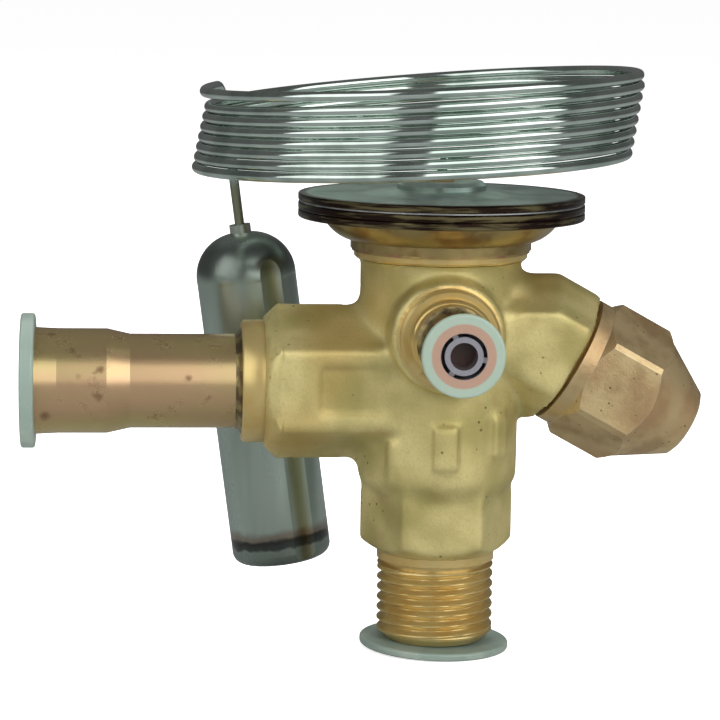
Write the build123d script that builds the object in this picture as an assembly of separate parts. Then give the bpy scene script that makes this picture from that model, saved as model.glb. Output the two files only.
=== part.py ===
from build123d import *
import math
import os

# Thermostatic expansion valve with an angled setting spindle, external equaliser
# and a wound sensing capillary.  Millimetres, +Z up.  The origin is on the inlet
# axis where the full inlet thread begins; the 45 degree nose lies just below it.
# -X is the outlet, -Y the equaliser, and the setting spindle points to +X and down.

# ---------------------------------------------------------------- clearances
RUN_GAP = 0.05          # radial gap of sliding and turning fits
BRAZE_GAP = 0.05        # radial gap that capillary brazing fills
STOP_GAP = 0.03         # axial gap between moving faces that bear on each other
PLUG_GAP = 0.05         # radial gap of a soft transport plug in its bore
THREAD_GAP = 0.02       # radial gap of the gland's thread
CARTRIDGE_GAP = 0.05    # radial gap of the orifice cartridge in the inlet bore
GASKET_GAP = 0.25       # radial gap around the cap gasket

# ------------------------------------------------------- forged valve body
NOSE_LENGTH = 1.2
THREAD_R = 15.875 / 2
THREAD_LENGTH = 9.1
RELIEF_R = 7.17
RELIEF_WIDTH = 0.8
LAND_R = 8.0
LAND_LENGTH = 1.2
INLET_HEX_AF = 18.3
INLET_HEX_LENGTH = 8.1
INLET_HEX_CHAMFER = 29.0
INLET_HEX_RUNOUT = 50.0
TRUNK_R = 10.8
TRUNK_TOP = 51.0
LIP_WIDTH = 1.3
LIP_LENGTH = 1.0
LIP_EDGE = 0.3
SPIGOT_R = 10.4
SPIGOT_LENGTH = 1.7
FORGED_EDGE = 0.9
OUTLET_ROOT = 1.5
SPINDLE_ROOT = 0.7

OUTLET_Z = 34.1
OUTLET_HEX_AF = 18.55
OUTLET_HEX_END = 23.75
OUTLET_HEX_CHAMFER = 2.0
COLLAR_R = 8.28
COLLAR_LENGTH = 3.05
TURNED_EDGE = 0.35
PANEL_LENGTH = 10.2
PANEL_HEIGHT = 6.9
PANEL_DEPTH = 0.45
PANEL_FROM_END = 7.0
PANEL_CORNER = 1.0

EQUALISER_Z = 41.8
EQUALISER_BASE_R = 7.6
EQUALISER_BASE_EDGE = 0.7
EQUALISER_BASE_END = 12.9
# Turned steps of the equaliser boss as (radius, length), from the base outwards.
EQUALISER_STEPS = ((6.6, 1.9), (5.5, 2.3), (5.05, 1.2))

SPINDLE_TILT = 29.0
SPINDLE_Z = 47.15
SPINDLE_BOSS_AF = 17.7
SPINDLE_BOSS_END = 19.85
SPINDLE_BOSS_TOP_EDGE = 5.0
SPINDLE_BOSS_CHAMFER = 0.9
ROOF_AXIS_Z = 39.5
NIPPLE_R = 7.4
NIPPLE_LENGTH = 7.65
NIPPLE_CHAMFER = 0.7

# Raised bars on the trunk as (width, height, how far they stand proud).
FRONT_PAD = (3.15, 5.9, 0.75)
FRONT_PAD_BOTTOM = 23.7
LEFT_RIB = (1.8, 5.8, 0.6)
LEFT_RIB_ANGLE = 231.0
LEFT_RIB_BOTTOM = 21.4
RIGHT_RIB = (2.6, 6.0, 0.6)
RIGHT_RIB_ANGLE = 313.0
RIGHT_RIB_BOTTOM = 25.1
PAD_ROOT = 2.0
PAD_EDGE = 0.35

# -------------------------------------------------------- bores of the body
INLET_BORE_R = 5.5
INLET_BORE_TOP = 20.0
OUTLET_CHAMBER_R = 4.6
WEB_BOTTOM = 37.6
WEB_TOP = 39.7
SPRING_CHAMBER_R = 8.3
OUTLET_PASSAGE_R = 3.3
EQUALISER_PASSAGE_R = 1.5
GLAND_BORE_R = 4.6
GLAND_SEAT = 15.5

# ------------------------------------------------------------- copper tubes
TUBE_R = 12.7 / 2
TUBE_WALL = 0.8
TUBE_INSERT = 6.2
TUBE_LENGTH = 14.9
TAPER_LENGTH = 3.1
SOCKET_R = 7.05
SOCKET_BORE_R = 6.4
SOCKET_LENGTH = 6.6
SOCKET_BELL_R = 6.55
SOCKET_BELL_LENGTH = 3.0
EQ_TUBE_R = 4.0
EQ_BORE_R = 3.2
EQ_BELL_R = 3.35
EQ_BELL_LENGTH = 2.4
EQ_INSERT = 4.8
EQ_TUBE_LENGTH = 10.1
BRAZE_BEAD = 0.85
BRAZE_HOLLOW = 0.15

# ---------------------------------------------------------- power element
ELEMENT_R = 19.3
PLATE_T = 1.02
DIAPHRAGM_T = 0.18
RIM_EDGE = 0.22
SKIRT_WALL = 1.75
SKIRT_LENGTH = 1.2
ELEMENT_BRAZE_T = 0.35
ELEMENT_BRAZE_EDGE = 0.2
DISH_DEPTH = 2.91
DISH_R = 16.0
DISH_STEP = 0.5
DISH_WALL = 1.1
DISH_BULGE = 0.45
RING_BORE_R = 13.4
CHARGE_R = 15.5
CHARGE_DEPTH = 0.5
CORRUGATION_RADII = (7.5, 9.5, 11.5, 13.5)
CORRUGATION_HEIGHT = 0.3
CROWN_BASE_R = 10.5
CROWN_RISE = 0.6
BOSS_R = 6.0
BOSS_RISE = 1.1
BOSS_EDGE = 0.5
BOSS_WALL = 1.0
CAPILLARY_COLLAR_R = 1.7
CAPILLARY_COLLAR_T = 0.7
CAPILLARY_COLLAR_EDGE = 0.3

# --------------------------------------------- push pin, pad, seat and spring
PAD_R = 12.6
PAD_T = 1.4
PAD_HUB_R = 7.0
PAD_HUB_T = 1.95
PAD_STUB_R = 3.0
PAD_STUB_T = 1.3
PIN_R = 1.5
PIN_NOSE_R = 1.0
PIN_NOSE_LENGTH = 6.4
PIN_IN_PAD = 2.0
GUIDE_R = 2.6
GUIDE_HEAD_R = 3.2
GUIDE_HEAD_T = 0.5
GUIDE_BELOW = 1.2
SEAT_BOTTOM = 41.8
SEAT_CONE_HEIGHT = 4.5
SEAT_RIM_T = 0.8
SEAT_RECESS_R = 3.4
SEAT_RECESS_DEPTH = 2.0
SEAT_BORE_R = 1.7
SEAT_PILOT_R = 4.3
SEAT_PILOT_T = 0.9
SPRING_R = 5.3
SPRING_WIRE_R = 0.5
SPRING_TURNS = 4

# ------------------------------------------------------- setting mechanism
TIP_R = 2.0
TIP_FROM_AXIS = 6.5
PISTON_R = 3.0
PISTON_START = 10.0
PISTON_END = 14.4
GROOVE_START = 11.4
GROOVE_WIDTH = 1.6
GROOVE_R = 1.9
O_RING_SECTION = 1.06
SPINDLE_THREAD_R = 2.5
SPINDLE_THREAD_END = 24.0
SPINDLE_DRIVE_AF = 3.4
SPINDLE_DRIVE_LENGTH = 2.8
GLAND_LENGTH = 7.0
GLAND_SLOT_WIDTH = 1.2
GLAND_SLOT_DEPTH = 1.4

# ------------------------------------------------------------------ seal cap
CAP_START = 20.3
CAP_COLLAR_R = 9.0
CAP_COLLAR_T = 1.9
CAP_HEX_AF = 17.8
CAP_CHAMFER = 45.0
CAP_HEX_EDGE = 0.5
CAP_LENGTH = 18.6
CAP_CONE_START = 11.3
CAP_CONE_START_R = 9.0
CAP_TIP_R = 4.9
CAP_TIP_EDGE = 0.9
CAP_BORE_LENGTH = 8.1
CAP_CAVITY_R = 4.6
CAP_CAVITY_LENGTH = 4.6
CAP_CAVITY_CONE = 2.6
GASKET_BORE_R = 4.9
GASKET_T = 0.84

# ------------------------------------------------------- orifice cartridge
HOUSING_BOTTOM = 11.0
HOUSING_NOSE_R = 4.5
HOUSING_NOSE_TOP = 25.5
ORIFICE_R = 1.9
ORIFICE_BOTTOM = 22.8
ORIFICE_LENGTH = 1.5
THROAT_R = 3.4
CONE_CHAMBER_R = 3.6
CONE_R = 3.0
CONE_TIP_R = 1.4
CONE_HALF_ANGLE = 30.0
CONE_SKIRT_T = 1.2
CONE_PILOT_R = 1.5
CONE_PILOT_T = 1.8
CUP_FROM_BOTTOM = 0.6
CUP_T = 1.4
CUP_HOLE_R = 0.6
CUP_HOLE_PITCH_R = 2.5
CUP_HOLE_COUNT = 6
CONE_SPRING_R = 2.2
CONE_SPRING_WIRE_R = 0.3
CONE_SPRING_TURNS = 4
STRAINER_RING_T = 1.0
STRAINER_R = 3.9
STRAINER_TIP_R = 2.6
STRAINER_LENGTH = 5.4
STRAINER_WALL = 0.25

# ------------------------------------------------------------ transport plugs
INLET_PLUG_R = 10.2
INLET_PLUG_T = 1.04
INLET_PLUG_TILT = 1.7
INLET_PLUG_INSERT = 5.0
OUTLET_PLUG_R = 9.07
OUTLET_PLUG_T = 1.9
OUTLET_PLUG_INSERT = 2.8
EQ_PLUG_R = 5.33
EQ_PLUG_T = 1.2
EQ_PLUG_INSERT = 2.2
EQ_PLUG_SLEEVE_R = 2.45
EQ_PLUG_HOLE_R = 1.75
EQ_PLUG_SLOT = 0.47
EQ_PLUG_WEB = 0.7
EQ_PLUG_WEBS = (-10.0, 115.0, 235.0)
EQ_PLUG_FLOOR = 0.5
PLUG_WALL = 0.9
PLUG_FLOOR = 0.8
PLUG_EDGE = 0.35

# --------------------------------------------------- capillary and the bulb
CAPILLARY_R = 0.67
COIL_TURNS = 8
COIL_LEFT = (-31.3, 71.0)
COIL_LEFT_STEP = (-0.27, -1.34)
COIL_RIGHT = (26.05, 74.7)
COIL_RIGHT_STEP = (-0.23, -1.5)
COIL_FIRST_LEFT = (-31.9, 73.0)
COIL_FIRST_RIGHT = (25.95, 76.1)
INNER_LOOP_R = 11.0
STEM_RISE = 2.5
STEM_BEND_R = 2.2
BULB_R = 7.0
BULB_LENGTH = 47.0
BULB_DOME = 6.5
BULB_DOME_BULGE = 1.75
BULB_LEAN = 7.8
BULB_TOP = (-26.3, 18.6, 52.3)
BULB_EDGE = 1.6
BULB_NECK_R = 1.5
BULB_NECK_T = 1.2
BULB_NIPPLE_R = 1.3
BULB_NIPPLE_T = 0.9
BULB_CHANNEL_R = 4.5
BULB_CHANNEL_DEPTH = 0.5
BULB_CHANNEL_ANGLE = -62.0
RISER_BEND_R = 3.0
RISER_SWEEP_REACH = 7.0


# ------------------------------------------------------------ worked-out sizes
def hex_corner(across_flats):
    """Radius to the corners of a hexagon."""
    return across_flats / math.sqrt(3)


HEX_BOTTOM = THREAD_LENGTH + RELIEF_WIDTH + LAND_LENGTH
HEX_TOP = HEX_BOTTOM + INLET_HEX_LENGTH
TRUNK_BOTTOM = HEX_TOP + (TRUNK_R - INLET_HEX_AF / 2) * math.tan(math.radians(INLET_HEX_RUNOUT))
LIP_TOP = TRUNK_TOP + LIP_LENGTH
LIP_R = SPIGOT_R + LIP_WIDTH
SPIGOT_TOP = LIP_TOP + SPIGOT_LENGTH
COLLAR_END = OUTLET_HEX_END + COLLAR_LENGTH
EQ_BOSS_END = EQUALISER_BASE_END + sum(length for _, length in EQUALISER_STEPS)
NIPPLE_END = SPINDLE_BOSS_END + NIPPLE_LENGTH

SKIRT_R = SPIGOT_R + BRAZE_GAP + SKIRT_WALL
DISH_FLOOR_R = SKIRT_R + DISH_STEP
SKIRT_BOTTOM = LIP_TOP + ELEMENT_BRAZE_T
DISH_BOTTOM = SKIRT_BOTTOM + SKIRT_LENGTH
FLANGE_BOTTOM = DISH_BOTTOM + DISH_DEPTH
RING_BOTTOM = FLANGE_BOTTOM + PLATE_T
DIAPHRAGM_BOTTOM = RING_BOTTOM + PLATE_T
COVER_BOTTOM = DIAPHRAGM_BOTTOM + DIAPHRAGM_T
COVER_TOP = COVER_BOTTOM + PLATE_T
CROWN_TOP = COVER_TOP + CROWN_RISE
BOSS_TOP = CROWN_TOP + BOSS_RISE

PAD_TOP = DIAPHRAGM_BOTTOM - STOP_GAP
PAD_BOTTOM = PAD_TOP - PAD_T
SPRING_TOP = PAD_BOTTOM - PAD_HUB_T
SEAT_CONE_TOP = SEAT_BOTTOM + SEAT_CONE_HEIGHT
SPRING_BOTTOM = SEAT_CONE_TOP + SEAT_RIM_T
PIN_TOP = PAD_TOP - PAD_T - PAD_HUB_T - PAD_STUB_T + PIN_IN_PAD

TILT = math.radians(SPINDLE_TILT)
SPINDLE_AXIS = Vector(math.cos(TILT), 0, -math.sin(TILT))
SPINDLE_PLANE = Plane(origin=(0, 0, SPINDLE_Z), x_dir=(0, 1, 0), z_dir=SPINDLE_AXIS)
OUTLET_PLANE = Plane(origin=(0, 0, OUTLET_Z), x_dir=(0, 1, 0), z_dir=(-1, 0, 0))
EQUALISER_PLANE = Plane(origin=(0, 0, EQUALISER_Z), x_dir=(1, 0, 0), z_dir=(0, -1, 0))

CONE_SLOPE = math.tan(math.radians(CONE_HALF_ANGLE))
CONE_TOP = ORIFICE_BOTTOM + (ORIFICE_R - CONE_TIP_R - STOP_GAP) / CONE_SLOPE
CONE_SKIRT_TOP = CONE_TOP - (CONE_R - CONE_TIP_R) / CONE_SLOPE
CONE_SPRING_TOP = CONE_SKIRT_TOP - CONE_SKIRT_T
CUP_TOP = HOUSING_BOTTOM + CUP_FROM_BOTTOM + CUP_T
PIN_NOSE_TOP = CONE_TOP + PIN_NOSE_LENGTH
RING_SEAT = HOUSING_BOTTOM - STRAINER_RING_T
BULB_LEAN_RAD = math.radians(BULB_LEAN)
BULB_PLACE = Pos(*BULB_TOP) * Rot(0, -BULB_LEAN, 0)

TUBE_START = COLLAR_END - TUBE_INSERT
TAPER_START = COLLAR_END + TUBE_LENGTH
SOCKET_START = TAPER_START + TAPER_LENGTH
BELL_START = SOCKET_START + SOCKET_LENGTH
TUBE_END = BELL_START + SOCKET_BELL_LENGTH
EQ_TUBE_START = EQ_BOSS_END - EQ_INSERT
EQ_TUBE_END = EQ_BOSS_END + EQ_TUBE_LENGTH


# --------------------------------------------------------------- shape helpers
def turned(profile):
    """Solid of revolution about +Z from a closed profile of (radius, height) points."""
    outline = Polyline(*[(radius, 0, height) for radius, height in profile], close=True)
    return revolve(make_face(outline), Axis.Z)


def disc(radius, bottom, top):
    """Plain cylinder about +Z between two heights."""
    return Pos(0, 0, bottom) * extrude(Circle(radius), top - bottom)


def ring(outer, inner, bottom, top):
    """Plain ring about +Z between two heights."""
    return disc(outer, bottom, top) - disc(inner, bottom, top)


def hex_bar(across_flats, bottom, top, edge, turn=0):
    """Hexagonal bar about +Z with rounded long edges; turn is degrees from corner on +X."""
    outline = RegularPolygon(hex_corner(across_flats), 6, rotation=turn)
    outline = fillet(outline.vertices(), edge)
    return Pos(0, 0, bottom) * extrude(outline, top - bottom)


def placed(plane, shape):
    """Move a shape drawn about +Z so that +Z becomes the plane's normal."""
    return plane.location * shape


def pipe(edges, radius):
    """Round bar that follows a chain of tangent lines and arcs, one exact piece per edge."""
    bar = None
    for edge in edges:
        along = edge % 0
        section = Plane(origin=edge @ 0, z_dir=along) * Circle(radius)
        if edge.geom_type == GeomType.LINE:
            piece = extrude(section, edge.length)
        else:
            spoke = (edge @ 0) - edge.arc_center
            axis = Axis(edge.arc_center, spoke.cross(along))
            piece = revolve(section, axis, math.degrees(edge.length / spoke.length))
        bar = piece if bar is None else bar + piece
    return bar


def half_turn(start, end, way):
    """Semicircle from start to end that leaves along way; start and end are Vectors."""
    middle = (start + end) * 0.5
    reach = (end - start).length / 2
    return ThreePointArc(start, middle + Vector(*way) * reach, end)


def coil_spring(mean_r, wire_r, turns, bottom, top):
    """Closed-end compression spring about +Z from chained semicircles, ends flat."""
    low = bottom + wire_r
    high = top - wire_r
    closed = 2 * wire_r
    pitch = (high - low - 2 * closed) / (turns - 1)
    heights = [low] + [low + closed + pitch * count for count in range(turns)] + [high]
    edges = []
    for count in range(len(heights) - 1):
        here = Vector(-mean_r, 0, heights[count])
        across = Vector(mean_r, 0, (heights[count] + heights[count + 1]) / 2)
        after = Vector(-mean_r, 0, heights[count + 1])
        edges.append(half_turn(here, across, (0, -1, 0)))
        edges.append(half_turn(across, after, (0, 1, 0)))
    return pipe(edges, wire_r)


def section_line(points):
    """Chain of straight lines through (radius, height) points of a section."""
    return Polyline(*[(radius, 0, height) for radius, height in points])


def section_arc(start, end, bulge):
    """Arc between two section points; a positive bulge lies left of the way it runs."""
    run = end[0] - start[0]
    rise = end[1] - start[1]
    length = math.hypot(run, rise)
    middle = ((start[0] + end[0]) / 2 - rise * bulge / length,
              (start[1] + end[1]) / 2 + run * bulge / length)
    return ThreePointArc(*[(radius, 0, height) for radius, height in (start, middle, end)])


# ------------------------------------------------------------------- the body
def inlet_end():
    """Turned thread blank, relief, land and the chamfered inlet hexagon."""
    corner = hex_corner(INLET_HEX_AF)
    rise = (corner - LAND_R) * math.tan(math.radians(INLET_HEX_CHAMFER))
    blank = turned([
        (0, -NOSE_LENGTH), (THREAD_R - NOSE_LENGTH, -NOSE_LENGTH), (THREAD_R, 0),
        (THREAD_R, THREAD_LENGTH), (RELIEF_R, THREAD_LENGTH),
        (RELIEF_R, THREAD_LENGTH + RELIEF_WIDTH), (LAND_R, THREAD_LENGTH + RELIEF_WIDTH),
        (LAND_R, HEX_BOTTOM), (0, HEX_BOTTOM),
    ])
    chamfered = turned([
        (0, HEX_BOTTOM), (LAND_R, HEX_BOTTOM), (corner, HEX_BOTTOM + rise),
        (corner, TRUNK_BOTTOM), (0, TRUNK_BOTTOM),
    ])
    return blank + (hex_bar(INLET_HEX_AF, HEX_BOTTOM, TRUNK_BOTTOM, FORGED_EDGE) & chamfered)


def trunk_head():
    """Conical foot of the trunk below, machined lip and spigot above."""
    foot = turned([
        (0, HEX_TOP), (INLET_HEX_AF / 2, HEX_TOP), (TRUNK_R, TRUNK_BOTTOM), (0, TRUNK_BOTTOM),
    ])
    head = turned([
        (0, TRUNK_TOP), (LIP_R - LIP_EDGE, TRUNK_TOP), (LIP_R, TRUNK_TOP + LIP_EDGE),
        (LIP_R, LIP_TOP), (SPIGOT_R, LIP_TOP), (SPIGOT_R, SPIGOT_TOP), (0, SPIGOT_TOP),
    ])
    return foot + head


def outlet_bar():
    """Forged hexagon towards the outlet with a turned chamfer on its end."""
    corner = hex_corner(OUTLET_HEX_AF)
    turned_end = turned([
        (0, 0), (corner, 0), (corner, OUTLET_HEX_END - OUTLET_HEX_CHAMFER),
        (corner - OUTLET_HEX_CHAMFER, OUTLET_HEX_END), (0, OUTLET_HEX_END),
    ])
    bar = hex_bar(OUTLET_HEX_AF, 0, OUTLET_HEX_END, FORGED_EDGE, turn=90)
    return placed(OUTLET_PLANE, bar & turned_end)


def outlet_collar():
    """Turned collar that holds the outlet tube."""
    collar = disc(COLLAR_R, 0, COLLAR_END)
    return placed(OUTLET_PLANE, chamfer(collar.edges().sort_by(Axis.Z)[-1:], TURNED_EDGE))


def outlet_panel():
    """Shallow bare recess in the front face of the outlet hexagon."""
    middle = OUTLET_HEX_END - PANEL_FROM_END - PANEL_LENGTH / 2
    depth = OUTLET_HEX_AF / 2 - PANEL_DEPTH
    face = Plane(origin=(-middle, -depth, OUTLET_Z), x_dir=(1, 0, 0), z_dir=(0, -1, 0))
    return extrude(face * RectangleRounded(PANEL_LENGTH, PANEL_HEIGHT, PANEL_CORNER), OUTLET_HEX_AF)


def spindle_bar():
    """Forged hexagon along the spindle, trimmed by a level roof near the trunk."""
    corner = hex_corner(SPINDLE_BOSS_AF)
    outline = RegularPolygon(corner, 6, rotation=90)
    outline = fillet(outline.vertices().sort_by(Axis.Y)[:-1], FORGED_EDGE)
    outline = fillet(outline.vertices().sort_by(Axis.Y)[-1:], SPINDLE_BOSS_TOP_EDGE)
    turned_end = turned([
        (0, 0), (corner, 0), (corner, SPINDLE_BOSS_END - SPINDLE_BOSS_CHAMFER),
        (corner - SPINDLE_BOSS_CHAMFER, SPINDLE_BOSS_END), (0, SPINDLE_BOSS_END),
    ])
    bar = placed(SPINDLE_PLANE, extrude(outline, SPINDLE_BOSS_END) & turned_end)
    half = SPINDLE_BOSS_AF / 2
    roof = Polyline(
        (-half, -corner), (half, -corner), (half, corner / 2), (0, corner),
        (-half, corner / 2), close=True,
    )
    roof = make_face(roof)
    roof = fillet(roof.vertices().sort_by(Axis.Y)[-1:], SPINDLE_BOSS_TOP_EDGE)
    side = Plane(origin=(-TRUNK_R, 0, ROOF_AXIS_Z), x_dir=(0, 1, 0), z_dir=(1, 0, 0))
    level = extrude(side * roof, TRUNK_R + SPINDLE_BOSS_END + corner)
    below = Pos(SPINDLE_BOSS_END / 2, 0, ROOF_AXIS_Z - corner) * Box(
        4 * SPINDLE_BOSS_END, 4 * SPINDLE_BOSS_END, 4 * corner,
        align=(Align.CENTER, Align.CENTER, Align.MAX),
    )
    return bar & (level + below)


def cap_nipple():
    """Turned nipple that carries the seal cap."""
    nipple = disc(NIPPLE_R, 0, NIPPLE_END)
    return placed(SPINDLE_PLANE, chamfer(nipple.edges().sort_by(Axis.Z)[-1:], NIPPLE_CHAMFER))


def equaliser_boss():
    """Forged base with the turned and stepped end that holds the tube."""
    base = disc(EQUALISER_BASE_R, 0, EQUALISER_BASE_END)
    base = fillet(base.edges().sort_by(Axis.Z)[-1:], EQUALISER_BASE_EDGE)
    end = EQUALISER_BASE_END
    for radius, length in EQUALISER_STEPS:
        step = disc(radius, 0, end + length)
        base = base + chamfer(step.edges().sort_by(Axis.Z)[-1:], TURNED_EDGE)
        end = end + length
    return placed(EQUALISER_PLANE, base)


def raised_bar(size, bottom, angle):
    """Small forged bar that stands proud of the trunk at an angle seen from above."""
    width, height, proud = size
    bar = Box(PAD_ROOT + proud, width, height, align=(Align.MIN, Align.CENTER, Align.MIN))
    bar = fillet(bar.faces().sort_by(Axis.X)[-1].edges(), PAD_EDGE)
    return Rot(0, 0, angle) * Pos(TRUNK_R - PAD_ROOT, 0, bottom) * bar


def root_edges(shape, toward):
    """Edges where a boss leaves the trunk on the side that toward points to."""
    edges = []
    for edge in shape.edges():
        point = edge @ 0.5
        on_trunk = abs(math.hypot(point.X, point.Y) - TRUNK_R) < STOP_GAP
        level = TRUNK_BOTTOM + STOP_GAP < point.Z < TRUNK_TOP - STOP_GAP
        off_seam = abs(point.Y) > STOP_GAP
        if on_trunk and level and off_seam and point.X * toward > STOP_GAP:
            edges.append(edge)
    return edges


def body_forging():
    """The forged outline before any bore is cut."""
    trunk = disc(TRUNK_R, TRUNK_BOTTOM, TRUNK_TOP)
    left = trunk + outlet_bar()
    left = fillet(root_edges(left, -1), OUTLET_ROOT)
    # The cylinder's seam is turned away from the spindle boss, so its root rounds in one run.
    right = Rot(0, 0, 180) * trunk + spindle_bar()
    right = fillet(root_edges(right, 1), SPINDLE_ROOT)
    shape = left + right
    shape = shape + equaliser_boss() + outlet_collar() + cap_nipple()
    shape = shape + inlet_end() + trunk_head()
    shape = shape + raised_bar(FRONT_PAD, FRONT_PAD_BOTTOM, -90)
    shape = shape + raised_bar(LEFT_RIB, LEFT_RIB_BOTTOM, LEFT_RIB_ANGLE)
    shape = shape + raised_bar(RIGHT_RIB, RIGHT_RIB_BOTTOM, RIGHT_RIB_ANGLE)
    return shape - outlet_panel()


def valve_body():
    """Forging with its bores and passages."""
    bores = disc(INLET_BORE_R, -NOSE_LENGTH, INLET_BORE_TOP)
    bores += disc(OUTLET_CHAMBER_R, INLET_BORE_TOP, WEB_BOTTOM)
    bores += disc(GUIDE_R, WEB_BOTTOM, WEB_TOP)
    bores += disc(SPRING_CHAMBER_R, WEB_TOP, SPIGOT_TOP)
    bores += placed(OUTLET_PLANE, disc(OUTLET_PASSAGE_R, 0, TUBE_START))
    bores += placed(OUTLET_PLANE, disc(TUBE_R + BRAZE_GAP, TUBE_START, COLLAR_END))
    bores += placed(EQUALISER_PLANE, disc(EQUALISER_PASSAGE_R, 0, EQ_TUBE_START))
    bores += placed(EQUALISER_PLANE, disc(EQ_TUBE_R + BRAZE_GAP, EQ_TUBE_START, EQ_BOSS_END))
    bores += placed(SPINDLE_PLANE, disc(PISTON_R + RUN_GAP, TIP_FROM_AXIS, GLAND_SEAT))
    bores += placed(SPINDLE_PLANE, disc(GLAND_BORE_R, GLAND_SEAT, NIPPLE_END))
    return body_forging() - bores


# ------------------------------------------------------------- power element
def rounded_rim(shape, radius):
    """Round the upper and lower rim of a plate at its outer radius."""
    rims = [edge for edge in shape.edges()
            if edge.geom_type == GeomType.CIRCLE and abs(edge.radius - radius) < STOP_GAP]
    return fillet(rims, RIM_EDGE)


def element_cover():
    """Upper plate with its raised crown, capillary boss and charge space below."""
    plate = turned([
        (0, COVER_BOTTOM), (ELEMENT_R, COVER_BOTTOM), (ELEMENT_R, COVER_TOP),
        (CROWN_BASE_R, COVER_TOP), (BOSS_R, CROWN_TOP), (BOSS_R, BOSS_TOP - BOSS_EDGE),
        (BOSS_R - BOSS_EDGE, BOSS_TOP), (0, BOSS_TOP),
    ])
    plate = rounded_rim(plate, ELEMENT_R)
    inner_r = BOSS_R - BOSS_WALL
    space = turned([
        (0, COVER_BOTTOM), (CHARGE_R, COVER_BOTTOM), (CHARGE_R, COVER_BOTTOM + CHARGE_DEPTH),
        (CROWN_BASE_R, COVER_BOTTOM + CHARGE_DEPTH),
        (inner_r, COVER_BOTTOM + CHARGE_DEPTH + CROWN_RISE),
        (inner_r, BOSS_TOP - BOSS_WALL), (0, BOSS_TOP - BOSS_WALL),
    ])
    hole = disc(CAPILLARY_R + BRAZE_GAP, COVER_BOTTOM, BOSS_TOP)
    return plate - space - hole


def diaphragm():
    """Thin corrugated disc, flat where it is clamped and where the pad bears."""
    crests = CORRUGATION_RADII
    lower = Line((0, 0, DIAPHRAGM_BOTTOM), (crests[0], 0, DIAPHRAGM_BOTTOM))
    upper = Line((0, 0, COVER_BOTTOM), (crests[0], 0, COVER_BOTTOM))
    for inner, outer in zip(crests, crests[1:]):
        middle = (inner + outer) / 2
        for level in (DIAPHRAGM_BOTTOM, COVER_BOTTOM):
            wave = ThreePointArc(
                (inner, 0, level), (middle, 0, level + CORRUGATION_HEIGHT), (outer, 0, level)
            )
            if level == DIAPHRAGM_BOTTOM:
                lower += wave
            else:
                upper += wave
    outline = lower + upper + Polyline(
        (crests[-1], 0, DIAPHRAGM_BOTTOM), (ELEMENT_R - RIM_EDGE, 0, DIAPHRAGM_BOTTOM),
        (ELEMENT_R - RIM_EDGE, 0, COVER_BOTTOM), (crests[-1], 0, COVER_BOTTOM),
    )
    outline += Line((0, 0, DIAPHRAGM_BOTTOM), (0, 0, COVER_BOTTOM))
    return revolve(make_face(outline), Axis.Z)


def diaphragm_ring():
    """Ring that backs the diaphragm's rim."""
    return rounded_rim(ring(ELEMENT_R, RING_BORE_R, RING_BOTTOM, DIAPHRAGM_BOTTOM), ELEMENT_R)


def element_base():
    """Drawn lower cup: flange, curved dish and the skirt brazed to the body."""
    bore = SPIGOT_R + BRAZE_GAP
    outside = [(bore, SKIRT_BOTTOM), (SKIRT_R, SKIRT_BOTTOM), (SKIRT_R, DISH_BOTTOM),
               (DISH_FLOOR_R, DISH_BOTTOM)]
    flange = [(DISH_R, FLANGE_BOTTOM), (ELEMENT_R, FLANGE_BOTTOM), (ELEMENT_R, RING_BOTTOM),
              (DISH_R - DISH_WALL, RING_BOTTOM), (DISH_R - DISH_WALL, FLANGE_BOTTOM)]
    floor = DISH_BOTTOM + DISH_WALL
    inside = [(DISH_FLOOR_R - DISH_WALL, floor), (bore, floor), outside[0]]
    outline = section_line(outside) + section_arc(outside[-1], flange[0], -DISH_BULGE)
    outline += section_line(flange) + section_arc(flange[-1], inside[0], DISH_BULGE)
    outline += section_line(inside)
    return rounded_rim(revolve(make_face(outline), Axis.Z), ELEMENT_R)


def element_braze():
    """Ring of braze metal between the skirt and the machined lip."""
    bead = ring(SKIRT_R - ELEMENT_BRAZE_EDGE, SPIGOT_R + BRAZE_GAP, LIP_TOP, SKIRT_BOTTOM)
    return bead


def capillary_collar():
    """Small collar of braze around the capillary on the boss."""
    collar = ring(CAPILLARY_COLLAR_R, CAPILLARY_R, BOSS_TOP, BOSS_TOP + CAPILLARY_COLLAR_T)
    rims = [edge for edge in collar.edges().group_by(Axis.Z)[-1]
            if abs(edge.radius - CAPILLARY_COLLAR_R) < STOP_GAP]
    return fillet(rims, CAPILLARY_COLLAR_EDGE)


# ------------------------------------------------------ pad, pin, seat, spring
def thrust_pad():
    """Pad that carries the diaphragm's force to the push pin and the spring."""
    hub_bottom = PAD_BOTTOM - PAD_HUB_T
    stub_bottom = hub_bottom - PAD_STUB_T
    pad = turned([
        (0, PAD_TOP), (PAD_R, PAD_TOP), (PAD_R, PAD_BOTTOM), (PAD_HUB_R, PAD_BOTTOM),
        (PAD_HUB_R, hub_bottom), (PAD_STUB_R, hub_bottom), (PAD_STUB_R, stub_bottom),
        (0, stub_bottom),
    ])
    return pad - disc(PIN_R, stub_bottom, PIN_TOP)


def push_pin():
    """Long pin from the pad through the guide down to the valve cone."""
    return disc(PIN_R, PIN_NOSE_TOP, PIN_TOP) + disc(PIN_NOSE_R, CONE_TOP, PIN_NOSE_TOP)


def pin_guide():
    """Headed bush pressed into the web of the body."""
    bush = disc(GUIDE_R, WEB_BOTTOM - GUIDE_BELOW, WEB_TOP)
    bush += disc(GUIDE_HEAD_R, WEB_TOP, WEB_TOP + GUIDE_HEAD_T)
    return bush - disc(PIN_R + RUN_GAP, WEB_BOTTOM - GUIDE_BELOW, WEB_TOP + GUIDE_HEAD_T)


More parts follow.
